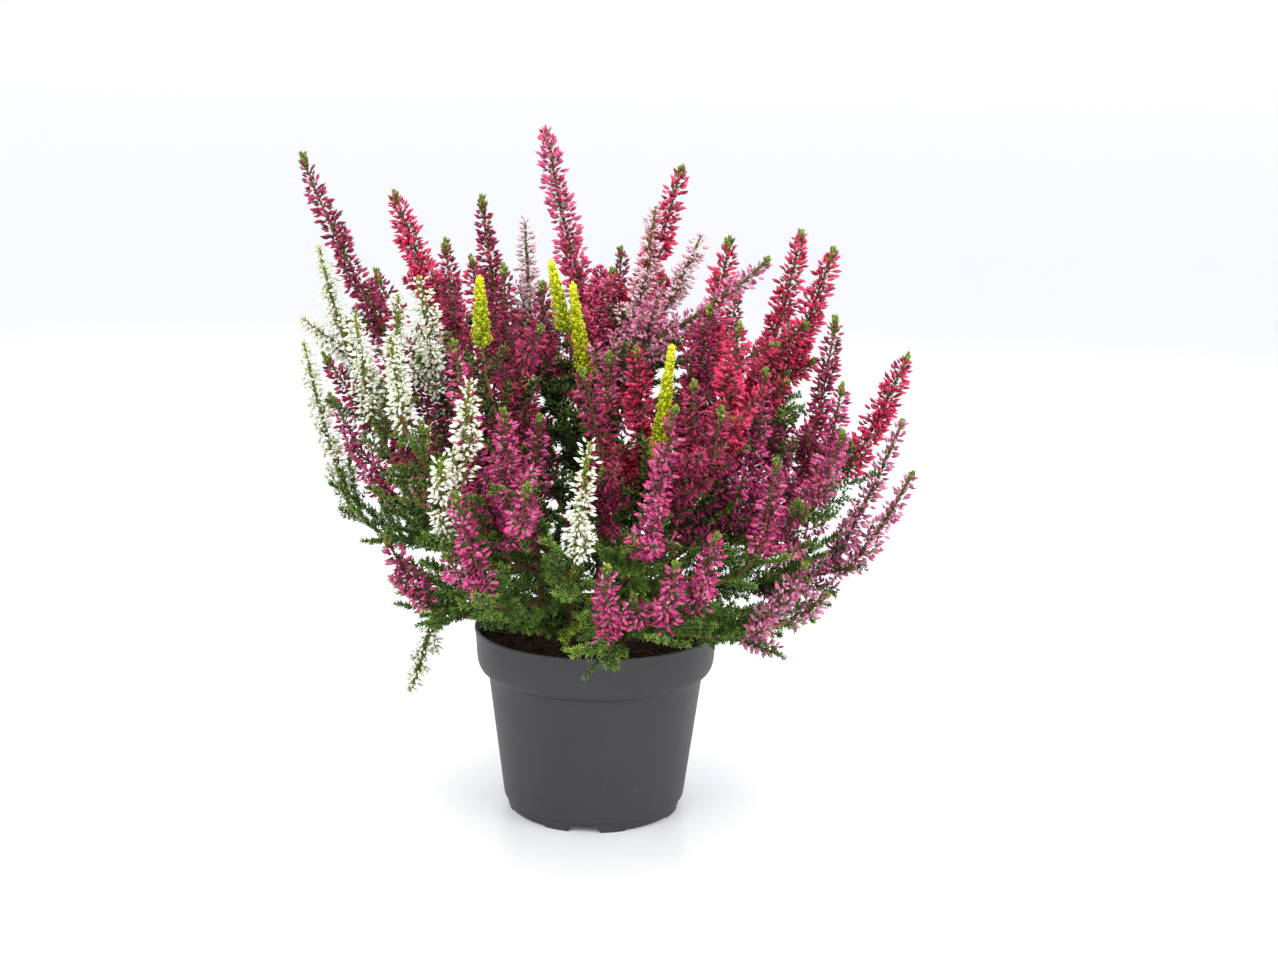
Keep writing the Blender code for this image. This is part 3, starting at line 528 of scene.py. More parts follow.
# The tip and the base of each spike. Where a node has several, the others fork from the first near its base.
SPRAYS = {
    "burgundy_left": [((-139, -12, 318), (-101, -14, 237)), ((-104, -24, 266), (-92, -22, 240))],
    "crimson_left": [((-103, 38, 301), (-79, 26, 248))],
    "burgundy_left_inner": [((-72, -22, 281), (-63, -20, 205))],
    "burgundy_upper": [((-58, 14, 300), (-47, 8, 231))],
    "burgundy_centre": [((-44, -42, 271), (-40, -38, 208)), ((-27, -20, 262), (-27, -22, 218))],
    "blush_left": [((-38, 34, 287), (-34, 26, 234))],
    "pink_tall": [((-27, 4, 330), (-5, -2, 240))],
    "crimson_tall": [((39, 26, 316), (14, 18, 238)), ((5, 20, 266), (8, 19, 240))],
    "blush_right": [((25, -8, 296), (16, -8, 241)), ((46, -14, 283), (28, -11, 246))],
    "crimson_right_inner": [((58, -34, 284), (47, -34, 214))],
    "mauve_arching": [((74, -60, 276), (20, -46, 236))],
    "burgundy_right_short": [((48, -64, 256), (44, -58, 219))],
    "crimson_right": [((98, 24, 286), (76, 10, 202)), ((110, -4, 279), (88, 2, 214))],
    "burgundy_right": [((108, -34, 249), (98, -30, 180))],
    "crimson_far_right": [((150, 8, 228), (121, 2, 168))],
    "magenta_right": [((106, -84, 204), (96, -70, 166)), ((108, -62, 222), (101, -56, 178))],
    "mauve_far_right": [((143, -24, 200), (111, -28, 130)), ((144, -50, 180), (116, -42, 130))],
    "crimson_front_right": [((60, -78, 250), (54, -72, 199))],
    "burgundy_front": [((4, -76, 236), (1, -76, 178))],
    "crimson_front": [((16, -54, 236), (20, -54, 190))],
    "gold_right": [((31, -74, 238), (25, -74, 184))],
    "burgundy_front_right": [((40, -90, 226), (42, -84, 188)), ((52, -98, 216), (49, -91, 190))],
    "magenta_front": [((32, -106, 217), (20, -100, 156))],
    "magenta_side": [((74, -58, 228), (67, -58, 170))],
    "gold_left": [((-13, -36, 262), (-5, -34, 213)), ((-23, -32, 272), (-15, -32, 238))],
    "gold_left_short": [((-53, -64, 266), (-52, -60, 234))],
    "white_left_high": [((-125, -50, 278), (-114, -44, 232))],
    "white_left_pair": [((-107, -66, 250), (-101, -58, 200)), ((-88, -66, 258), (-90, -60, 212))],
    "white_left_inner": [((-82, -40, 264), (-76, -38, 226))],
    "white_left_low": [((-89, -88, 242), (-84, -80, 201))],
    "white_far_left": [((-139, -14, 231), (-118, -20, 154))],
    "burgundy_far_left": [((-125, -46, 230), (-81, -46, 178))],
    "magenta_left": [((-63, -84, 241), (-49, -80, 168))],
    "magenta_front_pair": [((-40, -100, 214), (-38, -96, 176)), ((-29, -119, 186), (-33, -106, 160))],
    "white_front_left": [((-66, -110, 194), (-64, -98, 158)), ((-54, -108, 226), (-57, -101, 182))],
    "white_front": [((-4, -122, 203), (-9, -111, 152))],
    "magenta_low_left": [((-94, -74, 153), (-75, -66, 117))],
    "magenta_drooping": [((-59, -122, 182), (-46, -102, 132)), ((-64, -116, 155), (-54, -108, 140))],
    "magenta_low_front": [((4, -126, 153), (4, -110, 116))],
    "magenta_low_pair": [((33, -122, 154), (29, -107, 120)), ((15, -116, 139), (20, -109, 123))],
    "magenta_low_right": [((50, -114, 165), (42, -102, 126))],
    "mauve_low_right": [((92, -86, 146), (68, -78, 110)), ((104, -72, 128), (85, -73, 114))],
    "white_hanging": [((-88, -34, 68), (-78, -34, 101))],
    "magenta_side_low": [((77, -90, 193), (71, -84, 147))],
    "burgundy_back": [
        ((-14, 78, 250), (-6, 62, 196)),
        ((10, 56, 275), (8, 47, 214)),
        ((32, 72, 262), (19, 61, 209)),
    ],
    "crimson_back_left": [((-44, 96, 238), (-40, 78, 180)), ((-68, 78, 268), (-54, 67, 204))],
    "magenta_back_left": [((-136, 38, 200), (-104, 32, 150)), ((-118, 76, 232), (-98, 55, 176))],
    "white_back": [((24, 128, 176), (14, 104, 134)), ((-10, 122, 206), (-6, 105, 156))],
    "burgundy_back_right": [((98, 62, 236), (76, 50, 180)), ((72, 84, 252), (62, 65, 198))],
    "magenta_back_right": [((76, 112, 184), (62, 88, 134)), ((118, 72, 192), (88, 69, 148))],
    "crimson_back_low": [((-108, 86, 158), (-78, 68, 120)), ((-74, 112, 182), (-62, 84, 136))],
}
OUTER_PLANTS, ROOT_REACH, INNER_REACH = 6, 27.0, 45.0
HOLE_DEPTH, ROOT_RISE, PIECE_GAP = 13.0, 3.5, 0.3
LOWEST_FORK, FORK_SHARE, FORK_STEP, TRUNK_END = 99.0, 0.3, 4.5, 12.0
TRUNK_BEND, STEM_BEND, STEM_PITCH, BOW, FORK_RISE = 0.38, 0.34, 24.0, 0.05, 4.0
SPIKE_POINTS, LINE_POINTS = 25, 33


def bezier(points, count):
    """Points spread over the Bezier curve of these control points."""
    t = np.linspace(0, 1, count)[:, None]
    order = len(points) - 1
    return sum(math.comb(order, i) * t**i * (1 - t) ** (order - i) * points[i] for i in range(order + 1))


def length_of(curve):
    """The length of a line of straight pieces."""
    return np.linalg.norm(np.diff(curve, axis=0), axis=1).sum()


def along(curve, marks):
    """Points of the curve at these distances from its start."""
    run = np.r_[0, np.cumsum(np.linalg.norm(np.diff(curve, axis=0), axis=1))]
    return np.stack([np.interp(marks, run, curve[:, axis]) for axis in range(3)], axis=1)


class Spray:
    """One spike of buds, on its own stem or on the fork of another spray's."""

    def __init__(self, node, first, tip, base):
        self.node, self.kind, self.first = node, node.split("_")[0], first
        self.tip, self.base = np.array(tip, float), np.array(base, float)
        chord = self.tip - self.base
        sag = UP * np.linalg.norm(chord) - chord * chord[2] / np.linalg.norm(chord)
        self.curve = bezier([self.base, (self.base + self.tip) / 2 - 2 * BOW * sag, self.tip], SPIKE_POINTS)
        self.plant, self.stem = 0, None


def root_of(plant):
    """Where a cutting stands on the peat."""
    turn = TURN * (plant - 1) / OUTER_PLANTS
    reach = ROOT_REACH if plant else 0
    return np.array([reach * math.cos(turn), reach * math.sin(turn), SOIL_TOP])


def plant_of(spray):
    """The middle cutting for a spray near the axis, or else the outer one on its side."""
    if np.linalg.norm(spray.base[:2]) < INNER_REACH:
        return 0
    turn = math.atan2(spray.base[1], spray.base[0]) / TURN
    return 1 + round(turn * OUTER_PLANTS) % OUTER_PLANTS


def stem_line(start, leave, spray, bend):
    """A stem's line of straight pieces from its start to its spray, in line with the spray at its end."""
    pull = bend * np.linalg.norm(spray.base - start)
    arrive = unit(spray.curve[1] - spray.curve[0])
    curve = bezier([start, start + leave * pull, spray.base - arrive * pull, spray.base], LINE_POINTS)
    length = length_of(curve)
    return along(curve, np.linspace(0, length, 1 + max(2, round(length / STEM_PITCH))))


def grow_stems(members):
    """Gives each spray its stem: the leader's rises from the root, and the others fork from it in turn."""
    leader = min(members, key=lambda s: np.linalg.norm(s.base[:2] - root_of(s.plant)[:2]))
    root = root_of(leader.plant)
    trunk = stem_line(root + UP * ROOT_RISE, UP, leader, TRUNK_BEND)
    trunk = np.concatenate([[root - UP * (HOLE_DEPTH - PIECE_GAP)], trunk])
    leader.stem = trunk
    fork = LOWEST_FORK - FORK_STEP
    for spray in sorted((s for s in members if s is not leader), key=lambda s: s.base[2]):
        wanted = LOWEST_FORK + FORK_SHARE * (spray.base[2] - LOWEST_FORK)
        fork = min(max(fork + FORK_STEP, wanted), trunk[-1][2] - TRUNK_END)
        above = int(np.argmax(trunk[:, 2] > fork))
        rise = unit(trunk[above] - trunk[above - 1])
        start = trunk[above] - rise * (trunk[above][2] - fork) / rise[2]
        leave = unit(0.6 * rise + unit(spray.base - start))
        spray.stem = stem_line(start, leave, spray, STEM_BEND)


sprays = []
for node, pairs in SPRAYS.items():
    first = None
    for tip, base in pairs:
        spray = Spray(node, first, tip, base)
        spray.plant = plant_of(first or spray)
        first = first or spray
        sprays.append(spray)
PLANTS = range(OUTER_PLANTS + 1)
for plant in PLANTS:
    grow_stems([s for s in sprays if s.plant == plant and s.first is None])


def smooth(line, rounds=3):
    """The line with its corners cut: a round puts two points on each straight, a quarter from its ends."""
    for _ in range(rounds):
        near, far = 0.75 * line[:-1] + 0.25 * line[1:], 0.25 * line[:-1] + 0.75 * line[1:]
        line = np.concatenate([line[:1], np.stack([near, far], axis=1).reshape(-1, 3), line[-1:]])
    return line


def wandering(line, amount, wave, seed):
    """The line with a slow sideways sway that is nothing at its ends."""
    draw = np.random.default_rng(seed)
    run = np.r_[0, np.cumsum(np.linalg.norm(np.diff(line, axis=0), axis=1))]
    fade = np.sin(np.pi * run / run[-1])[:, None]
    phases = draw.uniform(0, TURN, 3)
    return line + amount * fade * np.sin(TURN * run[:, None] / wave + phases)


# The woody stems: brown and reddish, four millimetres thick at the root and wiry under the sprays,
# with fine cracked bark.
STEM_POINTS, STEM_SIDES, STEM_OVERRUN, SWAY, SWAY_WAVE = 26, 6, 0.4, 0.5, 31.0
TRUNK_RADIUS, FORK_RADIUS, WIRY_RADIUS = 2.0, 1.25, 0.62
bark, reading = finish("brown bark", 0.75, Specular_IOR_Level=0.3)
bark_place = reading.add("ShaderNodeTexCoord", output=3)
stretch = reading.add("ShaderNodeMapping", {}, {"Vector": bark_place, "Scale": (1.0, 1.0, 0.22)})
bark_crack = reading.noise(stretch, 1500.0, 4.0, 0.7)
bark_patch = reading.noise(bark_place, 130.0, 3.0)
bark_colour = reading.mix(bark_patch, linear(104, 66, 46), linear(166, 112, 82))
bark_colour = reading.mix(reading.step(bark_crack, 0.45, 0.7) * 0.65, bark_colour, linear(62, 42, 30))
wire(bark, Base_Color=bark_colour, Normal=reading.bump(bark_crack, 0.00025))

for plant in PLANTS:
    stems = [s for s in sprays if s.plant == plant and s.first is None]
    lines, radii = [], []
    for number, spray in enumerate(stems):
        line = smooth(spray.stem)
        length = length_of(line)
        line = along(line, np.linspace(0, length + STEM_OVERRUN, STEM_POINTS))
        spray.stem_fine = wandering(line, SWAY, SWAY_WAVE, 100 * plant + number)
        thick = TRUNK_RADIUS if spray.stem[0][2] < SOIL_TOP else FORK_RADIUS
        lines.append(spray.stem_fine)
        thinning = [thick, 0.45 + thick * 0.5, WIRY_RADIUS]
        radii.append(np.interp(np.linspace(0, 1, STEM_POINTS), [0, 0.35, 1], thinning))
    points, faces = tubes(np.array(lines), np.array(radii), STEM_SIDES)
    wood = as_mesh(f"woody_stems_{plant}", points * MM, faces, bark)
    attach(wood, "root")
    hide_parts(f"leafy_stems_{plant}")

# The needles: each stem carries short green side shoots, close-set with whorls of fine pointed
# needles. A needle is a thin closed blade of four faces, rooted in its shoot.
CELLS = 64
SHOOTS_PER_PLANT, SHOOT_SEED, BALLS = 14, 11, 12
# How far out from its stem a spike of each kind needs room.
ROOM = {
    "burgundy": 6.3,
    "magenta": 6.3,
    "crimson": 6.3,
    "pink": 6.5,
    "blush": 5.8,
    "mauve": 5.7,
    "white": 5.3,
    "gold": 4.4,
}
SHOOT_LEAN = math.radians(48)
MAIN_PITCH, MAIN_TURN, MAIN_LOWEST, MAIN_BALL, MAIN_CLEAR = 6.5, 2.4, 90.0, 3.6, 3.9
GOLDEN_TURN = TURN * 0.381966
OPEN_DEPTH, FEATHER_TOP, FEATHER_PITCH, INNER_PITCH = 38.0, 200.0, 6.0, 6.4
RIM_SHOOTS, BOWL_SHOOTS, FURTHER_LOWEST, DEEP_REACH = 34, 46, 88.0, 46
# The tips of further shoots, chosen where the front shows green between and under the sprays.
REACHING = [
    (72, -50, 112), (84, -58, 118), (98, -50, 128), (66, -58, 106), (106, -46, 140), (-84, -46, 126),
    (-70, -52, 110), (-96, -40, 142), (88, -24, 196), (92, -30, 206), (-20, -20, 214), (-26, -8, 222),
    (-16, -30, 200), (34, -24, 224), (-84, -30, 130), (-92, -50, 120), (-98, -34, 132), (-104, -38, 150),
    (94, -44, 105), (84, -50, 103), (102, -60, 113), (112, -36, 146), (78, -66, 108), (90, -36, 116),
    (-24, 4, 206), (-14, -14, 190), (-30, 12, 196), (96, -8, 208), (90, -10, 220), (-74, -70, 124),
    (-126, -26, 166), (100, -30, 124), (-5, -60, 119), (-2, -58, 112), (-13, -52, 99), (-9, -50, 103),
    (-30, 10, 230), (-22, 18, 222), (-28, 26, 212), (-16, 22, 214), (-24, 12, 198), (-16, 22, 188),
    (-25, 30, 182), (-18, 8, 174), (-20, -2, 200), (-12, 2, 182), (-32, 16, 188), (-34, 2, 210),
    (-14, 34, 172), (-22, 28, 236), (44, 10, 222), (50, 0, 214), (38, 16, 230), (90, -40, 200),
    (86, -34, 190), (94, -20, 188), (-78, -76, 116), (-70, -66, 108), (-98, -16, 156), (-104, -6, 150),
    (-112, 0, 160), (-96, -50, 150), (-88, -60, 138), (-80, -46, 134), (98, -24, 150), (104, -6, 160),
    (92, -10, 142), (96, -52, 118), (88, -62, 110), (106, -66, 122), (-12, 10, 176), (-22, 8, 186),
    (-20, 24, 206), (-26, -4, 188), (72, -30, 114), (66, -42, 112), (80, -30, 127), (98, -14, 202),
    (-15, 16, 180), (-24, 6, 206), (26, 6, 214), (-21, 6, 158), (118, -34, 140), (104, -26, 142),
    (-82, -14, 132), (67, -32, 93), (78, -40, 97), (89, -34, 97), (-2, -8, 128), (-18, 36, 226),
    (-16, 40, 204), (-24, 40, 192), (-12, -12, 160), (-20, 40, 166), (-28, 36, 152),
]
NEEDLE = np.array([[0.5, 0.0, 0.1], [-0.5, 0.0, 0.1], [0, 0.42, 0.04], [0, 0.1, 1.0]])
NEEDLE_FACES = np.array([[0, 1, 2], [0, 3, 1], [1, 3, 2], [2, 3, 0]])
NEEDLE_AROUND = np.array([0.0, 1.0, 0.5, 0.5])


def pattern_corners(faces, up, around, tones, draw):
    """Each corner's place on the pattern: how far up its blade or bud it is, and a row picked by the tone.

    The rows are CELLS strips of the pattern, dark tones first, and around spreads over a strip.
    """
    row = np.clip(tones * CELLS + draw.normal(0, 2.0, len(tones)), 0, CELLS - 1).astype(int)
    place = np.stack(np.broadcast_arrays(up[faces], 0.05 + 0.9 * around[faces]), axis=-1).astype(float)
    place = np.repeat(place[None], len(tones), axis=0)
    place[..., 1] = (place[..., 1] + row[:, None, None]) / CELLS
    return place.reshape(-1, 2)


class Crop:
    """Many small shapes of one kind for a piece: the root, the way, the size and the tone of each."""

    def __init__(self):
        self.rows = []

    def add(self, root, way, length, width, tone):
        """Adds a shape for each root."""
        sizes = [np.broadcast_to(value, len(root)) for value in (length, width, tone)]
        self.rows.append(np.column_stack([root, way, *sizes]))

    def grown(self, shape, faces, around, facing, seed):
        """Points, faces and pattern corners of all, each turned with its back away from the facing way."""
        draw = np.random.default_rng(seed)
        rows = np.concatenate(self.rows)
        root, way, length, width, tone = rows[:, :3], rows[:, 3:6], rows[:, 6], rows[:, 7], rows[:, 8]
        side = unit(np.cross(way, facing + draw.normal(0, 0.15, way.shape)))
        back = np.cross(way, side)
        points = (
            root[:, None]
            + (shape[None, :, :1] * width[:, None, None]) * side[:, None]
            + (shape[None, :, 1:2] * width[:, None, None]) * back[:, None]
            + (shape[None, :, 2:] * length[:, None, None]) * way[:, None]
        )
        corners = pattern_corners(faces, shape[:, 2], around, tone, draw)
        return points.reshape(-1, 3), copies(faces, len(rows), len(shape)), corners


def heading(curve, marks, near):
    """The way the curve runs at these marks, from the points this near before and after each."""
    return unit(along(curve, marks + near) - along(curve, marks - near))


def square_to(ahead, turns):
    """The way square to ahead at these turns round it."""
    side = unit(np.cross(ahead, ACROSS))
    return np.cos(turns)[..., None] * side + np.sin(turns)[..., None] * np.cross(ahead, side)


def ranks(curve, start, stop, pitch, ways, draw, loose=0.25):
    """Places in whorls up a curve.

    Gives the points, the curve's direction, the way out, and the share of the way up.
    """
    marks = np.arange(start, stop, pitch)
    whorl = np.repeat(np.arange(len(marks)), ways)
    spots = np.repeat(marks, ways) + draw.uniform(-loose, loose, len(whorl)) * pitch
    turns = TURN * np.tile(np.arange(ways), len(marks)) / ways + whorl * TURN / 2 / ways
    turns = turns + draw.normal(0, 0.2, len(turns))
    points = along(curve, spots)
    ahead = heading(curve, spots, 0.6)
    return points, ahead, square_to(ahead, turns), (spots - start) / max(stop - start, 1e-6)


def leaning(ahead, out, lean):
    """The way that leans this far from ahead towards out."""
    lean = np.broadcast_to(lean, len(ahead))[:, None]
    return np.cos(lean) * ahead + np.sin(lean) * out


def clothe(crop, curve, pitch, ways, length, width, tone, draw, start=0.5, lean=(50, 32)):
    """Needles up a shoot, longest in its middle, fresher and more upright towards its tip."""
    stop = length_of(curve) - 0.2
    points, ahead, out, share = ranks(curve, start, stop, pitch, ways, draw)
    angle = np.radians(np.interp(share, [0, 1], lean)) + draw.normal(0, 0.1, len(share))
    way = leaning(ahead, out, angle)
    size = length * np.interp(share, [0, 0.3, 0.8, 1], [0.8, 1, 0.95, 0.65])
    size = size * draw.uniform(0.82, 1.15, len(share))
    tones = tone + 0.3 * share**2 + draw.normal(0, 0.09, len(share))
    crop.add(points + out * 0.15, way, size, width, tones)


def clothe_row(crop, roots, ways, lengths, whorls, around, size, width, tones, draw, lean=(58, 30)):
    """Needles in whorls up many straight shoots at once, each with a root, a way, a length and a tone."""
    share = (np.arange(whorls) + 0.5) / whorls
    spots = roots[:, None] + ways[:, None] * (lengths[:, None] * share)[..., None]
    ahead = ways[:, None, None]
    turns = TURN / around * (np.arange(around) + 0.5 * np.arange(whorls)[:, None])
    turns = turns + draw.uniform(0, TURN, (len(roots), 1, 1))
    turns = turns + draw.normal(0, 0.22, turns.shape)
    out = square_to(ahead, turns)
    angle = np.radians(np.interp(share, [0, 1], lean))[:, None] + draw.normal(0, 0.12, turns.shape)
    way = np.cos(angle)[..., None] * ahead + np.sin(angle)[..., None] * out
    size = size * np.interp(share, [0, 0.3, 0.75, 1], [0.85, 1, 0.95, 0.7])[:, None]
    size = size * draw.uniform(0.8, 1.15, turns.shape)
    tone = tones[:, None, None] + 0.3 * share[:, None] ** 2 + draw.normal(0, 0.08, turns.shape)
    root = spots[:, :, None] + out * 0.12
    crop.add(root.reshape(-1, 3), way.reshape(-1, 3), size.ravel(), width, tone.ravel())


def shoot_curve(start, ahead, length):
    """A side shoot, which starts inside its stem and turns up a little."""
    end = start + ahead * length + UP * 0.12 * length
    return bezier([start, start + ahead * length * 0.55, end], 9)


def clear_of_pot(points, reach):
    """True where balls of this reach touch neither the pot's rim nor the peat."""
    out = np.linalg.norm(points[:, :2], axis=1)
    over = points[:, 2] > RIM_HEIGHT + reach + 1
    inside = (out < INSIDE_COLLAR - reach) & (points[:, 2] > SOIL_TOP + 3 + reach)
    outside = out > RIM_RADIUS + 1 + reach
    return bool((over | inside | outside).all())


def room():
    """Balls that fill every spray and stem: centres, radii, the owner's number, and if each is in flower."""
    spike_marks = np.linspace(0.07, 0.94, BALLS)
    spike_width = np.interp(spike_marks, [0, 0.12, 0.7, 1], [0.55, 1, 1, 0.5])
    stalk_marks = np.linspace(0.03, 0.95, BALLS)
    centres, radii = [], []
    for spray in sprays:
        stalk = spray.stem if spray.first is None else np.array([spray.first.base, spray.base])
        centres.append(along(spray.curve, spike_marks * length_of(spray.curve)))
        centres.append(along(stalk, stalk_marks * length_of(stalk)))
        radii += [spike_width * ROOM[spray.kind], np.full(BALLS, 1.6)]
    owner = np.repeat(np.arange(len(sprays)), 2 * BALLS)
    flower = np.tile(np.repeat([True, False], BALLS), len(sprays))
    return np.concatenate(centres), np.concatenate(radii), owner, flower


def shoot_at(stem, mark, turn, length, lean=SHOOT_LEAN):
    """The line of a side shoot that leaves the stem at this mark, turned round it."""
    start, beyond = along(stem, [mark, mark + 1])
    ahead = unit(beyond - start)
    side = unit(np.cross(ahead, [0.2, 0.1, 1.0]))
    outward = math.cos(turn) * side + math.sin(turn) * np.cross(ahead, side)
    return shoot_curve(start, math.cos(lean) * ahead + math.sin(lean) * outward, length)


def main_shoots():
    """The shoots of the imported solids, picked in the same shuffled order from those clear of all else."""
    draw = np.random.default_rng(SHOOT_SEED)
    centres, radii, owner, flower = room()
    chosen = {plant: [] for plant in PLANTS}
    wishes = []
    for number, spray in enumerate(sprays):
        if spray.first is None:
            marks = np.arange(12.0, length_of(spray.stem) - 9.0, MAIN_PITCH)
            wishes += [(number, mark, MAIN_TURN * count + number) for count, mark in enumerate(marks)]
    for choice in draw.permutation(len(wishes)):
        number, mark, turn = wishes[choice]
        plant = sprays[number].plant
        if len(chosen[plant]) == SHOOTS_PER_PLANT:
            continue
        curve = shoot_at(sprays[number].stem, mark, turn, draw.uniform(15.0, 23.0))
        balls = along(curve, np.linspace(6, length_of(curve), 6))
        if curve[0][2] < MAIN_LOWEST or not clear_of_pot(balls, MAIN_BALL):
            continue
        distance = np.linalg.norm(balls[:, None] - centres[None], axis=2)
        if (distance < radii[None] + MAIN_CLEAR)[:, (owner != number) | flower].any():
            continue
        chosen[plant].append(curve)
        centres = np.concatenate([centres, balls])
        radii = np.r_[radii, np.full(len(balls), MAIN_BALL)]
        owner = np.r_[owner, np.full(len(balls), -1)]
        flower = np.r_[flower, np.full(len(balls), False)]
    return chosen


def envelope(heights):
    """How far out from the axis the leafy part of the plant reaches at these heights."""
    return np.interp(heights, [92, 130, 180, 230, 280], [62, 88, 116, 124, 100])


def freest(curves, blocked, reaches, crowd):
    """The line that keeps furthest from the crowd, of those clear of the pot and of the blocked balls."""
    best, widest = None, 0.0
    for curve in curves:
        balls = along(curve, np.linspace(3, length_of(curve), 5))
        near = np.linalg.norm(balls[:, None] - blocked[None], axis=2) < reaches[None]
        sinks = curve[-1][2] < curve[0][2] - 3
        if sinks or near.any() or not clear_of_pot(balls, 1.5):
            continue
        gap = np.linalg.norm(balls[2:, None] - crowd[None], axis=2).min()
        if gap > widest:
            best, widest = curve, gap
    return best


def outer_points(curve):
    """The two points of a shoot that keep others away: just past its middle, and its tip."""
    return along(curve, length_of(curve) * np.array([0.55, 1.0]))


def further_shoots():
    """The close-set shoots between those, one every few millimetres of stem, shorter higher up.

    Gives three groups for each plant. The inner ones are plain. The deep ones in the dark middle and the
    outer ones are branchlets with side shoots.
    """
    draw = np.random.default_rng(23)
    centres, radii, owner, flower = room()
    centres, radii = centres[flower], radii[flower] * 0.75
    crowd = np.zeros((1, 3))
    inner, deep, outer = ({plant: [] for plant in PLANTS} for _ in range(3))
    for number, spray in enumerate(sprays):
        if spray.first is not None:
            continue
        mark = 8.0
        while mark < length_of(spray.stem_fine) + 3.0:
            start = along(spray.stem_fine, [mark])[0]
            near_edge = np.linalg.norm(start[:2]) > envelope(start[2]) - OPEN_DEPTH
            open_air = near_edge and start[2] < FEATHER_TOP
            mark += FEATHER_PITCH if open_air else INNER_PITCH
            if start[2] < FURTHER_LOWEST:
                continue
            low = np.interp(start[2], [90, 120, 170, 230], [1.15, 1.1, 0.9, 0.75])
            length = (draw.uniform(17.0, 27.0) if open_air else draw.uniform(16.0, 26.0)) * low
            turns, leans = draw.uniform(0, TURN, 7), draw.uniform(0.4, 0.9, 7)
            sizes = length * np.array([1, 1, 1, 0.8, 0.8, 0.6, 0.6])
            curves = [shoot_at(spray.stem_fine, mark, *row) for row in zip(turns, sizes, leans)]
            curve = freest(curves, centres, radii, crowd)
            if curve is not None:
                (outer if open_air else inner)[spray.plant].append(curve)
                crowd = np.concatenate([crowd, outer_points(curve)])
    starts = np.concatenate([s.stem_fine for s in sprays if s.first is None])
    plants = np.repeat([s.plant for s in sprays if s.first is None], STEM_POINTS)
    turns = TURN * (np.arange(RIM_SHOOTS) + draw.uniform(-0.3, 0.3, RIM_SHOOTS)) / RIM_SHOOTS
    reach, rise = draw.uniform(53, 70, RIM_SHOOTS), draw.uniform(96, 106, RIM_SHOOTS)
    reach *= np.interp(np.abs(turns - 0.75 * TURN), [0.5, 0.8], [0.84, 1.0])
    rim_tips = np.c_[round_axis(reach, turns), rise]
    turns = GOLDEN_TURN * np.arange(BOWL_SHOOTS)
    rise = draw.uniform(102, 158, BOWL_SHOOTS)
    reach = envelope(rise) - draw.uniform(2, 22, BOWL_SHOOTS)
    bowl_tips = np.c_[round_axis(reach, turns), rise]
    for tip in np.concatenate([rim_tips, bowl_tips, np.array(REACHING, float)]):
        below = tip * [0.72, 0.72, 1] - UP * 0.12 * np.linalg.norm(tip[:2])
        unfit = (starts[:, 2] < 89) | (starts[:, 2] > max(tip[2] - 4, 98))
        nearest = np.argmin(np.linalg.norm(starts - below, axis=1) + 99 * unfit)
        start = starts[nearest]
        curve = bezier([start, 0.5 * (start + tip) + UP * 5, tip], 12)
        if clear_of_pot(along(curve, np.linspace(4, length_of(curve), 8)), 0.8):
            (outer if np.linalg.norm(tip[:2]) > DEEP_REACH else deep)[plants[nearest]].append(curve)
    return inner, deep, outer


def feather(curve, draw):
    """The side shoots of a branchlet, in a row on each of its sides, longest at its middle."""
    reach = length_of(curve)
    marks = np.arange(2.6, reach - 1.0, 2.5)
    share = marks / reach
    ahead = heading(curve, marks, 0.5)
    flat = unit(np.cross(ahead, UP + draw.normal(0, 0.5, 3))) * (-1.0) ** np.arange(len(marks))[:, None]
    flat = unit(flat + draw.normal(0, 0.3, flat.shape))
    ways = unit(ahead * 0.75 + flat * 0.75 + UP * 0.12)
    lengths = 8.0 * np.interp(share, [0, 0.35, 1], [0.75, 1, 0.35]) * draw.uniform(0.8, 1.2, len(marks))
    return along(curve, marks), ways, lengths


def on_pattern(reading):
    """How far up its blade or bud a place is, its row on the pattern, and a random share for each row."""
    place = reading.add("ShaderNodeUVMap", {"uv_map": "growth"})
    up = reading.add("ShaderNodeSeparateXYZ", {}, {0: place}, 0)
    row = reading.add("ShaderNodeSeparateXYZ", {}, {0: place}, 1)
    whole_row = reading.math("FLOOR", row * CELLS)
    chance = reading.add("ShaderNodeTexWhiteNoise", {"noise_dimensions": "1D"}, {"W": whole_row})
    return up, row, chance


def needle_finish(name, tones, tip, shade, foot, roughness=0.55):
    """Needles: tones is a ramp from dark to fresh, tip the points' colour, and shade and foot darker ones."""
    material, reading = finish(name, roughness, Specular_IOR_Level=0.4)
    up, row, chance = on_pattern(reading)
    colour = reading.add("ShaderNodeValToRGB", {"stops": tones}, {0: row})
    colour = reading.mix(chance * 0.35, colour, shade)
    colour = reading.mix(reading.step(up, 0.35, 1.0) * 0.5, colour, tip)
    colour = reading.mix(reading.step(up, 0.3, 0.0) * 0.45, colour, foot)
    wire(material, Base_Color=colour, Roughness=roughness - 0.1 + 0.2 * chance)
    return material


GREEN_TONES = [
    (0.0, linear(20, 34, 12)),
    (0.3, linear(56, 90, 34)),
    (0.6, linear(94, 136, 52)),
    (0.85, linear(146, 178, 64)),
    (1.0, linear(208, 218, 66)),
]
green = needle_finish(
    "green needles", GREEN_TONES, linear(150, 176, 72), linear(54, 74, 26), linear(98, 106, 50)
)
# Shoots that end near these two places at the front of the rim are young, and a fresher green than the rest.
YOUNG, YOUNG_REACH = np.array([[-4.0, -60.0, 117.0], [-12.0, -52.0, 100.0]]), 7
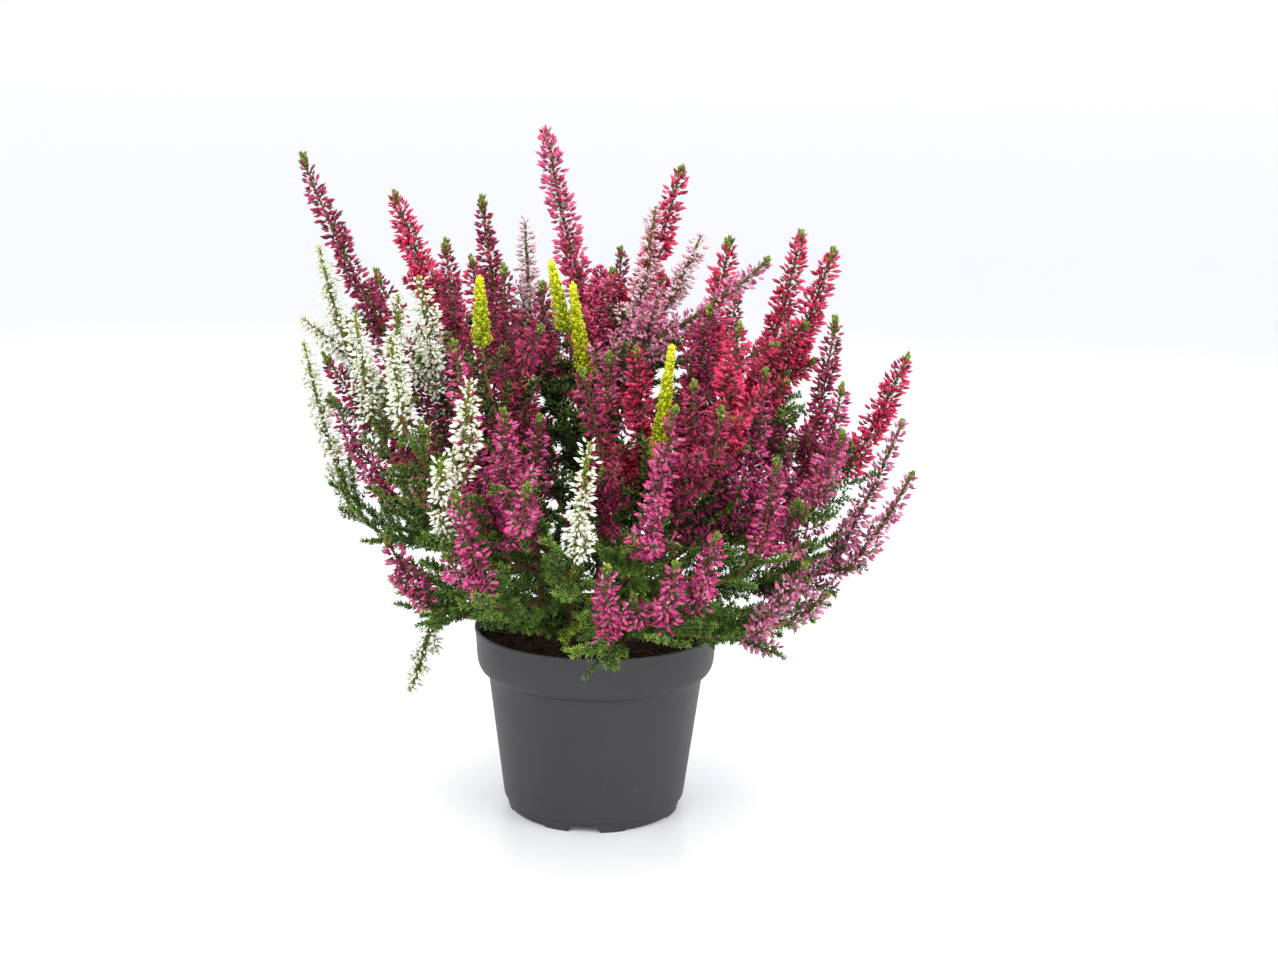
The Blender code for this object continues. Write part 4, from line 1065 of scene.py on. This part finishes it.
# Length and width of the needles: coarse where little shows inside the plant, and fine at its outside.
COARSE_NEEDLE, SHOOT_NEEDLE, FINE_NEEDLE = (4.4, 2.1), (3.0, 1.3), (2.8, 1.3)
# Needle tones: shoots inside the plant are darker and the deep ones in its middle darkest, painted shade and
# in part the browner old needles there; shoots near its outside are lighter.
EDGE_DEPTH, INNER_SHADE_TONE, DEEP_SHADE_TONE, OUTER_TONE = 30, 0.1, 0.04, 0.33

leaf_draw = np.random.default_rng(31)
main, (inner, deep, outer) = main_shoots(), further_shoots()
for plant in PLANTS:
    leaves_crop, twig_crop, twigs = Crop(), Crop(), []
    for curve in main[plant] + inner[plant]:
        # Darker inside the plant, painted shade, and lighter near its outside.
        tone = INNER_SHADE_TONE + leaf_draw.normal(0, 0.06)
        if np.linalg.norm(curve[-1][:2]) > envelope(curve[-1][2]) - EDGE_DEPTH:
            clothe(leaves_crop, curve, 1.7, 4, *SHOOT_NEEDLE, tone + 0.2, leaf_draw, start=1.2, lean=(60, 34))
        else:
            clothe(leaves_crop, curve, 3.0, 4, *COARSE_NEEDLE, tone, leaf_draw, start=1.2, lean=(60, 38))
        twigs.append(curve)
    for curve in deep[plant]:
        # Darkest deep in the middle of the plant: painted shade.
        clothe(leaves_crop, curve, 2.6, 4, *COARSE_NEEDLE, DEEP_SHADE_TONE, leaf_draw, start=1.2, lean=(60, 38))
        roots, ways, lengths = feather(curve, leaf_draw)
        tones = DEEP_SHADE_TONE + leaf_draw.normal(0, 0.04, len(roots))
        clothe_row(leaves_crop, roots, ways, lengths * 1.15, 3, 3, 4.2, 2.1, tones, leaf_draw)
        twigs.append(curve)
    for curve in outer[plant]:
        young = np.exp(-((np.linalg.norm(curve[-1] - YOUNG, axis=1) / YOUNG_REACH) ** 2)).max()
        tone = OUTER_TONE + 0.6 * young + leaf_draw.normal(0, 0.1)
        clothe(leaves_crop, curve, 2.0, 4, *FINE_NEEDLE, tone, leaf_draw, start=1.2, lean=(58, 32))
        roots, ways, lengths = feather(curve, leaf_draw)
        tones = tone + leaf_draw.normal(0.04, 0.05, len(roots))
        clothe_row(leaves_crop, roots, ways, lengths, 4, 3, 2.8, 1.25, tones, leaf_draw)
        twig_crop.add(roots, ways, lengths, 0.5, 0.5)
        twigs.append(curve)
    for spray in (s for s in sprays if s.plant == plant and s.first is None):
        stem = spray.stem_fine
        outside = np.linalg.norm(stem[:, :2], axis=1) > envelope(stem[:, 2]) - OPEN_DEPTH
        if outside.sum() > 3:
            clothe(leaves_crop, stem[outside], 1.9, 4, 2.7, 1.15, 0.3, leaf_draw, lean=(48, 40))
    points, faces, corners = leaves_crop.grown(NEEDLE, NEEDLE_FACES, NEEDLE_AROUND, UP, 40 + plant)
    leaves = as_mesh(f"green_shoots_{plant}", points * MM, faces, green, corners=corners)
    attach(leaves, "root")
    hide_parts(f"leafy_stems_{plant}")
    ends = np.array([along(curve, [0, 0.5 * length_of(curve), length_of(curve)]) for curve in twigs])
    for first, last in ((0, 1), (1, 2)):
        run = ends[:, last] - ends[:, first]
        reach = np.linalg.norm(run, axis=1)
        twig_crop.add(ends[:, first] - run * 0.1, unit(run), reach * 1.25, 0.95 - 0.3 * first, 0.5)
    points, faces, corners = twig_crop.grown(NEEDLE, NEEDLE_FACES, NEEDLE_AROUND, UP, 90 + plant)
    wood = as_mesh(f"fine_twigs_{plant}", points * MM, faces, bark, corners=corners)
    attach(wood, "root")
    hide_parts(f"leafy_stems_{plant}")

# The sprays: thin stems set all round with closed buds, the outer ones on short olive stalks, with fine
# needles between them. Burgundy, magenta, crimson and mauve ones end in a green tuft.

# The two rings of a bud: the share of its length where each is, and of its radius. The bow tips it sideways.
BUD_RINGS, BUD_SIDES, BUD_BOW = [(0.22, 0.84), (0.6, 1.0)], 3, 0.32
bud_turns = TURN * np.arange(BUD_SIDES) / BUD_SIDES
BUD = np.concatenate(
    [
        [[0, 0, 0]],
        *(
            np.stack(
                [
                    radius * np.cos(bud_turns + 0.3 * up),
                    radius * np.sin(bud_turns + 0.3 * up) + BUD_BOW * 4 * up * (1 - up),
                    np.full(BUD_SIDES, up),
                ],
                axis=1,
            )
            for up, radius in BUD_RINGS
        ),
        [[0, 0, 1]],
    ]
)


def bud_faces(rings):
    """A bud's faces: a fan at its foot, two triangles for each side between two rings, a fan at its point."""
    step = np.arange(BUD_SIDES)
    after = (step + 1) % BUD_SIDES
    faces = [np.stack([0 * step, 1 + after, 1 + step], axis=1)]
    top = 1 + (rings - 1) * BUD_SIDES
    for low in range(1, top, BUD_SIDES):
        high = low + BUD_SIDES
        pairs = [[low + step, low + after, high + after], [low + step, high + after, high + step]]
        faces.append(np.array(pairs).transpose(2, 0, 1).reshape(-1, 3))
    faces.append(np.stack([top + step, top + after, 0 * step + top + BUD_SIDES], axis=1))
    return np.concatenate(faces)


BUD_FACES = bud_faces(2)
ring_around = np.abs(np.linspace(-1, 1, BUD_SIDES, endpoint=False))
BUD_AROUND = np.concatenate([[0.5], ring_around, ring_around, [0.5]])
# A bud deep in a spike shows little, so it has one ring.
INNER_BUD = np.concatenate([BUD[:1], BUD[1 : 1 + BUD_SIDES] * [1.15, 1.15, 1.9], BUD[-1:]])
INNER_FACES = bud_faces(1)
INNER_AROUND = np.concatenate([BUD_AROUND[: 1 + BUD_SIDES], [0.5]])
INNER_REACH_OUT, LONG_STALK, KNOBS = 0.6, 2.6, 6

# Each kind: buds to a whorl, the whorls' pitch, a bud's length and radius, how far it leans out at the foot
# and at the tip of the spike in degrees, and how far from the stem the buds are spread.
KINDS = {
    "burgundy": (7, 1.6, 4.2, 0.94, (76, 42), 3.2),
    "magenta": (6, 1.55, 4.4, 1.0, (78, 42), 3.5),
    "crimson": (8, 1.5, 4.8, 1.02, (74, 40), 4.8),
    "pink": (9, 1.45, 4.6, 1.02, (70, 38), 5.2),
    "blush": (5, 1.85, 4.2, 0.98, (78, 46), 3.4),
    "mauve": (5, 1.7, 4.2, 1.0, (68, 44), 3.3),
    "white": (6, 1.85, 4.0, 0.9, (86, 50), 3.8),
}
TUFTED = ("burgundy", "magenta", "crimson", "mauve")
# The colours from a bud's foot to its point, for the darkest, which the buds close in by the stem take as
# painted shade, and for the lightest of each kind.
DARK_AND_SHADED_BUDS = {
    "burgundy": [(92, 44, 54), (84, 14, 42), (100, 20, 52)],
    "magenta": [(150, 76, 96), (106, 14, 56), (126, 22, 70)],
    "crimson": [(140, 44, 62), (134, 8, 46), (150, 16, 56)],
    "pink": [(166, 84, 104), (152, 26, 66), (166, 44, 86)],
    "blush": [(196, 166, 140), (196, 140, 150), (206, 152, 170)],
    "mauve": [(206, 180, 160), (150, 48, 96), (164, 60, 114)],
    "white": [(176, 186, 124), (220, 222, 190), (228, 228, 204)],
}
LIGHT_BUDS = {
    "burgundy": [(208, 140, 154), (194, 50, 98), (172, 38, 88)],
    "magenta": [(252, 236, 240), (230, 84, 146), (214, 64, 128)],
    "crimson": [(248, 178, 194), (242, 70, 118), (232, 48, 98)],
    "pink": [(248, 206, 218), (232, 96, 144), (222, 74, 130)],
    "blush": [(250, 240, 230), (246, 214, 224), (246, 206, 222)],
    "mauve": [(250, 240, 222), (230, 144, 180), (220, 116, 164)],
    "white": [(230, 234, 194), (252, 253, 245), (255, 255, 250)],
}
COLOUR_STOPS = (0.14, 0.4, 0.95)


def bud_finish(name, dark, light):
    """Papery closed buds: three colours from foot to point, for the darkest and for the lightest tone."""
    material, reading = finish(name, 0.42, Specular_IOR_Level=0.4)
    up, row, chance = on_pattern(reading)
    stops = [[(stop, linear(*c)) for stop, c in zip(COLOUR_STOPS, colours)] for colours in (dark, light)]
    shades = [reading.add("ShaderNodeValToRGB", {"stops": pairs}, {0: up}) for pairs in stops]
    streak_place = reading.add("ShaderNodeCombineXYZ", {}, {0: up * 0.6, 1: row * CELLS * 1.6})
    streak = reading.noise(streak_place, 3.0, 2.0)
    tone = reading.step(row + 0.5 * (chance - 0.5), 0.1, 0.9)
    colour = reading.mix(tone, shades[0], shades[1])
    colour = reading.mix(reading.step(streak, 0.45, 0.7) * 0.28, colour, shades[0])
    wire(material, Base_Color=colour, Roughness=0.36 + 0.16 * streak, Normal=reading.bump(streak, 0.00006))
    return material


BRACT_TONES = [
    (0.0, linear(42, 40, 22)),
    (0.3, linear(72, 74, 34)),
    (0.6, linear(92, 108, 40)),
    (0.85, linear(122, 148, 42)),
    (1.0, linear(164, 186, 60)),
]
olive = needle_finish(
    "olive bracts and needles", BRACT_TONES, linear(126, 138, 58), linear(48, 52, 22), linear(78, 82, 38)
)
YELLOW_TONES = [
    (0.0, linear(76, 104, 16)),
    (0.35, linear(150, 172, 14)),
    (0.7, linear(212, 216, 16)),
    (1.0, linear(244, 238, 60)),
]
yellow = needle_finish(
    "yellow needles", YELLOW_TONES, linear(240, 236, 44), linear(126, 148, 14), linear(84, 110, 20)
)
bud_finishes = {kind: bud_finish(f"{kind} buds", DARK_AND_SHADED_BUDS[kind], LIGHT_BUDS[kind]) for kind in KINDS}
bud_draw = np.random.default_rng(57)


def set_buds(buds, bracts, curve, start, stop, kind, draw, whole=1.0, kept_share=0.84, spread=None):
    """Buds in whorls between two marks of a curve, at mixed distances, the outer ones on olive stalks."""
    ways, pitch, length, radius, lean, kind_spread = KINDS[kind]
    points, ahead, out, share = ranks(curve, start, stop, pitch, ways, draw, 0.45)
    kept = draw.uniform(0, 1, len(points)) < kept_share
    points, ahead, out, share = points[kept], ahead[kept], out[kept], share[kept]
    if not len(points):
        return
    leans = [lean[0], 0.75 * lean[0] + 0.25 * lean[1], lean[1]]
    angle = np.radians(np.interp(share, [0, 0.8, 1], leans))
    way = leaning(ahead, out, angle + draw.normal(0, 0.24, len(share)))
    way = unit(way - UP * (0.1 if kind != "white" else 0.2))
    size = length * np.interp(share, [0, 0.1, 0.85, 1], [0.9, 1, 0.95, 0.65])
    size = size * draw.uniform(0.82, 1.12, len(share)) * whole
    taper = np.interp(share, [0, 0.65, 0.9, 1], [1, 0.92, 0.6, 0.3])
    spread = kind_spread if spread is None else spread
    reach_out = draw.uniform(0, 1, len(share)) ** 1.3
    stalk = way * (0.4 + spread * taper * reach_out)[:, None] + ahead * 0.4
    root = points + out * 0.4 + stalk
    # Buds close in by the stem are darker, painted shade; the tone also differs at random, and is lighter
    # lower on the spike.
    tone = 0.08 + 0.62 * reach_out**0.7 + 0.22 * (1 - share) + draw.normal(0, 0.24, len(share))
    shown = reach_out >= INNER_REACH_OUT
    for crop, chosen in zip(buds, (shown, ~shown)):
        sizes = size[chosen]
        crop.add(root[chosen], way[chosen], sizes, radius * sizes / length, np.clip(tone[chosen], 0, 0.999))
    long = np.linalg.norm(stalk, axis=1)
    stalked = long > LONG_STALK
    bract_tone = 0.24 + draw.normal(0, 0.1, len(share))
    run = long[stalked] + 0.9
    bracts.add(points[stalked] + out[stalked] * 0.2, unit(stalk[stalked]), run, 0.75, bract_tone[stalked])


def set_tuft(crop, curve, size, draw):
    """The green crown that ends a spike: broad scale leaves round its tip and on a few knobs set round it."""
    reach = length_of(curve)
    end = along(curve, np.linspace(reach - size, reach - 0.6, 8))
    clothe(crop, end, 0.95, 4, 2.4, 2.0, 0.5, draw, lean=(50, 8))
    marks = reach - size * draw.uniform(0.42, 1.0, KNOBS)
    ahead = heading(curve, marks, 0.4)
    turns = TURN * np.arange(KNOBS) / KNOBS + draw.normal(0, 0.3, KNOBS)
    ways = leaning(ahead, square_to(ahead, turns), 0.58)
    tones = draw.normal(0.56, 0.1, KNOBS)
    lengths = draw.uniform(0.3, 0.46, KNOBS) * size
    clothe_row(crop, along(curve, marks), ways, lengths, 3, 3, 1.9, 1.9, tones, draw, lean=(50, 6))


spike_centres, spike_radii, spike_owner, in_flower = room()
flower_crowd = spike_centres[in_flower]
# Places that the front shows open between the sprays, across and up on the plane through the pot's axis.
DAYLIGHT = np.array(
    [
        (68, 256), (72, 242), (70, 228), (-117, 190), (-112, 180), (116, 160), (126, 170), (132, 182),
        (120, 166), (112, 152), (9, 270), (-60, 268), (-118, 248), (-108, 229), (-88, 268), (-124, 152),
    ],
    float,
)
# The distance of the camera from the axis, and its height.
FRONT_EYE, FRONT_HEIGHT = 780.4, 314.3


def in_daylight(points, within):
    """True for the points that the front shows nearer than this to a place that is open."""
    nearer = FRONT_EYE / (points[:, 1:2] + FRONT_EYE)
    rise = FRONT_HEIGHT + (points[:, 2:] - FRONT_HEIGHT) * nearer
    shown = np.concatenate([points[:, :1] * nearer, rise], axis=1)
    return np.linalg.norm(shown[:, None] - DAYLIGHT[None], axis=2).min(axis=1) < within


# The lowest place of side spikes on the stems of each kind.
SIDE_FROM = {
    "burgundy": 155.0,
    "magenta": 146.0,
    "crimson": 158.0,
    "pink": 200.0,
    "mauve": 108.0,
    "white": 205.0,
    "blush": 205.0,
}


def side_spikes(spray, draw):
    """Flowering shoots on the last part of a spray's stem, turned to where the plant is most open."""
    global flower_crowd
    stem, number = spray.stem_fine, sprays.index(spray)
    length = length_of(stem)
    others = in_flower & (spike_owner != number)
    found = []
    for mark in np.arange(max(25.0, length - 42.0), length - 1.0, 4.5):
        if along(stem, [mark])[0][2] < SIDE_FROM[spray.kind]:
            continue
        sizes, turns, leans = draw.uniform(13, 25, 6), draw.uniform(0, TURN, 6), draw.uniform(0.35, 0.75, 6)
        curves = [shoot_at(stem, mark, *row) for row in zip(turns, sizes, leans)]
        curve = freest(curves, spike_centres[others], spike_radii[others] * 0.7 + 2.0, flower_crowd)
        if curve is not None and not in_daylight(curve[5:], 7.0).any():
            found.append(curve)
            flower_crowd = np.concatenate([flower_crowd, outer_points(curve)])
    return found


# The tips of the first infill spikes, where the front shows one between the others.
FILLED = [
    (97, -16, 244), (104, -6, 226), (88, -28, 218), (82, -24, 196), (-14, -8, 240), (-22, -2, 224),
    (88, 10, 232), (84, -40, 206), (92, -26, 202), (78, -8, 208), (40, -4, 262), (-66, -48, 200),
    (-86, -30, 208),
]
INFILL, INFILL_TRIES, INFILL_SKIPPED = 40, 2500, 6


def set_branch(buds, bracts, branch, kind, spread, needles, draw):
    """Buds and needles on a side branch of a spike. Gives the line of its twig."""
    reach = length_of(branch)
    set_buds(buds, bracts, branch, 3.0, reach, kind, draw, whole=0.95, kept_share=0.8, spread=spread)
    clothe(bracts, branch, *needles, draw)
    return along(branch, np.linspace(0, reach, 3))


def infill_spikes(count, draw):
    """Further flowering shoots inside the plant, each ending where it is farthest from all other flowers.

    Each rises from the nearest stem of a spray of dark buds, and is made with that spray.
    """
    hosts = [s for s in sprays if s.first is None and s.kind in ("burgundy", "magenta", "crimson")]
    starts = np.concatenate([s.stem_fine[INFILL_SKIPPED:] for s in hosts])
    owners = np.repeat(np.arange(len(hosts)), STEM_POINTS - INFILL_SKIPPED)
    height = draw.uniform(176, 250, INFILL_TRIES)
    turn = draw.uniform(0, TURN, INFILL_TRIES)
    reach = np.sqrt(draw.uniform(0, 1, INFILL_TRIES)) * (envelope(height) - 24)
    tips = np.c_[round_axis(reach, turn), height]
    tips = tips[~in_daylight(tips, 14.0)]
    gaps = np.linalg.norm(tips[:, None] - flower_crowd[None], axis=2).min(axis=1)
    found = {host.node: [] for host in hosts}
    for number in range(count):
        tip = np.array(FILLED[number], float) if number < len(FILLED) else tips[np.argmax(gaps)]
        below = tip * [0.72, 0.72, 1] - UP * 42
        nearest = np.argmin(np.linalg.norm(starts - below, axis=1) + 40 * (starts[:, 2] > tip[2] - 24))
        start = starts[nearest]
        rising = start + UP * 0.45 * (tip[2] - start[2]) + (tip - start) * [0.1, 0.1, 0]
        curve = bezier([start, rising, tip], 16)
        found[hosts[owners[nearest]].node].append(curve)
        taken = along(curve, length_of(curve) * np.linspace(0.4, 1, 5))
        gaps = np.minimum(gaps, np.linalg.norm(tips[:, None] - taken[None], axis=2).min(axis=1))
    return found


side_found = {
    number: side_spikes(spray, bud_draw)
    for number, spray in enumerate(sprays)
    if spray.kind in SIDE_FROM and spray.first is None
}
infill = infill_spikes(INFILL, bud_draw)
TWIG_POINTS, FORK_POINTS, PLAIN_TUFT, MAUVE_TUFT = 12, 4, (6.0, 8.5), (4.0, 5.0)
# The pitch and the tone of the needles between the buds: for most kinds, and for those that have their own.
PLAIN_LEAFY, LEAFY = (2.0, 0.26), {"white": (1.1, 0.72), "mauve": (0.9, 0.42), "blush": (1.4, 0.42)}
for node in SPRAYS:
    members = [s for s in sprays if s.node == node]
    kind = members[0].kind
    buds, bracts, twigs, twig_radii, side_twigs = (Crop(), Crop()), Crop(), [], [], []
    for spray in members:
        curve = spray.curve
        length = length_of(curve)
        if spray.first is None:
            marks = np.linspace(-0.5, length - 1.2, TWIG_POINTS)[1:]
            start = [curve[0] - unit(curve[1] - curve[0]) * 1.5]
        else:
            marks = np.linspace(0, length - 1.2, TWIG_POINTS - FORK_POINTS + 1)
            root = along(spray.first.curve, [FORK_RISE])[0]
            start = bezier([root, root + (curve[0] - root) * 0.5 - UP, curve[0]], FORK_POINTS)[:-1]
        twigs.append(np.concatenate([start, along(curve, marks)]))
        twig_radii.append(np.interp(np.linspace(0, 1, TWIG_POINTS), [0, 1], [0.75, 0.35]))
        if kind == "gold":
            points, ahead, out, share = ranks(curve, 1.0, length - 2, 1.9, 5, bud_draw)
            ways = leaning(ahead, out, np.radians(52 - 24 * share))
            lengths = np.interp(share, [0, 0.6, 1], [5.6, 4.2, 1.6])
            lengths = lengths * bud_draw.uniform(0.85, 1.15, len(share))
            tones = 0.3 + 0.3 * share + bud_draw.normal(0, 0.12, len(share))
            clothe_row(bracts, points, ways, lengths, 4, 3, 1.9, 1.5, tones, bud_draw, lean=(50, 22))
            end = along(curve, np.linspace(length - 5, length, 6))
            clothe(bracts, end, 0.7, 4, 2.2, 1.0, 0.75, bud_draw, lean=(40, 12))
            continue
        tuft = 1.0
        if kind in TUFTED:
            tuft = bud_draw.uniform(*(MAUVE_TUFT if kind == "mauve" else PLAIN_TUFT))
        # The one that hangs over the rim has fewer buds and more and larger needles.
        hanging = node == "white_hanging"
        kept_share = 0.8 if hanging else 0.84
        needle_pitch, needle_tone = (0.55, 0.6) if hanging else LEAFY.get(kind, PLAIN_LEAFY)
        needle_size = (3.3, 1.35) if hanging else (2.6, 0.95)
        set_buds(buds, bracts, curve, 1.0, length - 0.7 * tuft, kind, bud_draw, kept_share=kept_share)
        clothe(bracts, curve, needle_pitch, 4, *needle_size, needle_tone, bud_draw, lean=(50, 34))
        if kind in TUFTED:
            set_tuft(bracts, curve, tuft, bud_draw)
        if length > 30:
            top = 0.62 if kind != "pink" else 0.4
            places, ahead, out, share = ranks(curve, 1.5, top * length, 8.0, 1, bud_draw)
            for place, forward, outward, level in zip(places, ahead, out, share):
                angle = bud_draw.uniform(0, TURN)
                outward = math.cos(angle) * outward + math.sin(angle) * np.cross(forward, outward)
                way = leaning(forward[None], outward[None], 0.7)[0]
                reach = np.interp(level, [0, 1], [15, 6.5]) * bud_draw.uniform(0.7, 1.15)
                end = place + way * reach * 0.6 + forward * reach * 0.5
                branch = bezier([place, place + way * reach * 0.5, end], 8)
                needles = (2.5, 3, 2.3, 1.0, needle_tone)
                side_twigs.append(set_branch(buds, bracts, branch, kind, 1.2, needles, bud_draw))
        if kind in SIDE_FROM and spray.first is None:
            for branch in side_found[sprays.index(spray)]:
                needles = (2.6, 3, 2.5, 1.1, 0.26)
                side_twigs.append(set_branch(buds, bracts, branch, kind, 1.6, needles, bud_draw))
    for curve in infill.get(node, []):
        length = length_of(curve)
        set_buds(buds, bracts, curve, 0.4 * length, length - 4.5, kind, bud_draw)
        clothe(bracts, curve, 2.4, 3, 2.8, 1.2, 0.2, bud_draw, lean=(50, 34))
        set_tuft(bracts, curve, 5.5, bud_draw)
        twigs.append(along(curve, np.linspace(0, length - 1, TWIG_POINTS)))
        twig_radii.append(np.linspace(0.6, 0.3, TWIG_POINTS))
    skin = yellow if kind == "gold" else olive
    points, faces, corners = bracts.grown(NEEDLE, NEEDLE_FACES, NEEDLE_AROUND, UP, 60)
    sprig = as_mesh(f"{node}_needles", points * MM, faces, skin, corners=corners)
    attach(sprig, "root")
    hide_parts(node)
    "gold_leaves" if kind == "gold" else "leafy_stem"
    stem_shapes = [tubes(np.array(twigs), np.array(twig_radii), 5)]
    if side_twigs:
        side_radii = np.tile([[0.5, 0.4, 0.15]], (len(side_twigs), 1))
        stem_shapes.append(tubes(np.array(side_twigs), side_radii, 3))
    points, faces = joined(stem_shapes)
    stem = as_mesh(f"{node}_stem", points * MM, faces, bark)
    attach(stem, "root")
    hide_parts(node)
    if kind != "gold":
        shapes = ((BUD, BUD_FACES, BUD_AROUND), (INNER_BUD, INNER_FACES, INNER_AROUND))
        grown = [crop.grown(*shape, UP, 61) for crop, shape in zip(buds, shapes)]
        points, faces = joined([made[:2] for made in grown])
        corners = np.concatenate([made[2] for made in grown])
        flowers = as_mesh(f"{node}_buds", points * MM, faces, bud_finishes[kind], corners=corners)
        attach(flowers, "root")
        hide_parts(node)
